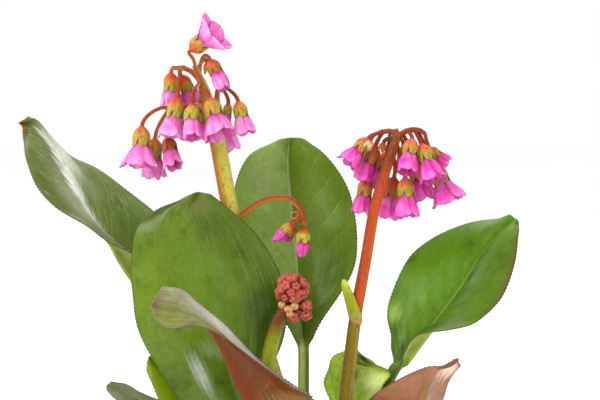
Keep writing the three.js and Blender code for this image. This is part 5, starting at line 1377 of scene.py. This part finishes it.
def stonePiece(name, make, material):
    carrier = soilDisc(material)
    stone = stoneObject(name + "Shape", make, material)
    mesh = runTree(name, carrier, scatterTree(name + "Tree", material), Shape=stone, Density=make["density"],
                   Smallest=make["smallest"], Largest=make["largest"], Seed=make["seed"])
    dropObject(stone)
    dropObject(carrier)
    return stands(linkObject(name, mesh), "soil")


soilPiece()
stonePiece("barkCrumbs", crumbMake, earthyMaterial("crumb_skin", crumbLook))
stonePiece("perliteGrains", perliteMake, earthyMaterial("perlite_skin", perliteLook))
print("compost made")


# Rhizome: thick knobs with the scars of old leaves

rhizomeMake = {"voxel": 1.1, "rows": 15, "sides": 28, "roughness": [(4.0, 1.0, 0.7), (1.7, 6.0, 0.3)],
               "drawnIn": 0.5, "scarDepth": 0.3, "scarTurns": 2.3, "scarWander": (9.0, 5.0, 1.5),
               "knobs": [([-24, -6, 94], [16, 17, 11]), ([-2, 2, 94], [15, 13, 10]),
                         ([4, 15, 93], [11, 11, 9]), ([27, 3, 94], [17, 18, 11]),
                         ([-12, -24, 94], [14, 12, 10]), ([-26, 12, 93], [10, 10, 9])]}  # centres and radii
rhizomeLook = dict(dark=(70, 42, 28), light=(132, 92, 62), fleck=(168, 128, 92), patchScale=60.0,
                   grainScale=500.0, rough=(0.65, 0.9), depth=0.0006)


def rhizomePiece():
    m = rhizomeMake
    parts = Parts()
    for centre, radii in m["knobs"]:
        parts.add(ballRings(m["rows"], m["sides"], radii) + centre)
    crown = parts.make("rhizomeKnobs", earthyMaterial("rhizome_skin", rhizomeLook))
    remesh = crown.modifiers.new("join", "REMESH")
    remesh.mode, remesh.voxel_size = "VOXEL", m["voxel"] * millimetre
    mesh = keptMesh(crown, remesh)
    crown.data = mesh
    crown.name = "rhizomeCrown"
    points, _, normals = readMesh(mesh)
    wander = roughness(points, [m["scarWander"]])
    scars = np.sin(points[:, 2] * m["scarTurns"] + wander) * m["scarDepth"]
    bumps = roughness(points, m["roughness"]) - m["drawnIn"]
    mesh.vertices.foreach_set("co", ((points + normals * (scars + bumps)[:, None]) * millimetre).ravel())
    mesh.polygons.foreach_set("use_smooth", np.ones(len(mesh.polygons), bool))
    mesh.update()
    return stands(crown, "rhizome", "rhizome")


rhizomePiece()
print("rhizome made")


# Floor, light and camera

studio = {"floor": 12.0, "distance": 1.3, "elevation": 4.0, "aim": (0.0, 0.0, 0.255), "lens": 141.8,
          "sensor": 36.0, "world": 1.0, "floorDark": (250, 250, 250, 1), "floorLight": (254, 254, 254, 1),
          "lights": {"keyLight": ((-0.9, -1.5, 1.5), 1.1, 34.0, (1.0, 0.99, 0.97)),
                     "sheenLight": ((-1.6, 0.3, 1.0), 1.2, 16.0, (0.97, 0.99, 1.0)),
                     "fillLight": ((1.5, -1.0, 0.7), 1.2, 5.0, (1.0, 1.0, 1.0)),
                     "topLight": ((0.1, 0.7, 1.8), 1.2, 12.0, (1.0, 1.0, 1.0))}}  # place, size, watts, tint


def stageMaterial():
    skin = Skin("studio_floor")
    shade = skin.noise(1.2, 2.0).ease(0.3, 0.7)
    return skin.finish(blend(shade, colour(*studio["floorDark"]), colour(*studio["floorLight"])), 0.9)


def softLight(name, where, size, power, tint):
    lamp = bpy.data.lights.new(name, "AREA")
    lamp.shape, lamp.size, lamp.energy, lamp.color = "SQUARE", size, power, tint
    made = linkObject(name, lamp)
    made.location = where
    made.rotation_euler = (Vector(studio["aim"]) - Vector(where)).to_track_quat("-Z", "Y").to_euler()


bpy.ops.mesh.primitive_plane_add(size=studio["floor"])
floor = bpy.context.object
floor.name = "studioFloor"
floor.data.materials.append(stageMaterial())
for lightName, light in studio["lights"].items():
    softLight(lightName, *light)
world = bpy.data.worlds.new("studioWorld")
world.use_nodes = True
background = world.node_tree.nodes["Background"].inputs
background["Color"].default_value = (1.0, 1.0, 1.0, 1.0)
background["Strength"].default_value = studio["world"]
bpy.context.scene.world = world
camera = linkObject("studioCamera", bpy.data.cameras.new("studioCamera"))
camera.data.lens = studio["lens"]
camera.data.sensor_width = studio["sensor"]
tilt = math.radians(studio["elevation"])
camera.location = Vector(studio["aim"]) + Vector((0, -math.cos(tilt), math.sin(tilt))) * studio["distance"]
camera.rotation_euler = (math.pi / 2 - tilt, 0, 0)
bpy.context.scene.camera = camera
bpy.context.scene.view_settings.view_transform = "Standard"
print("studio made")
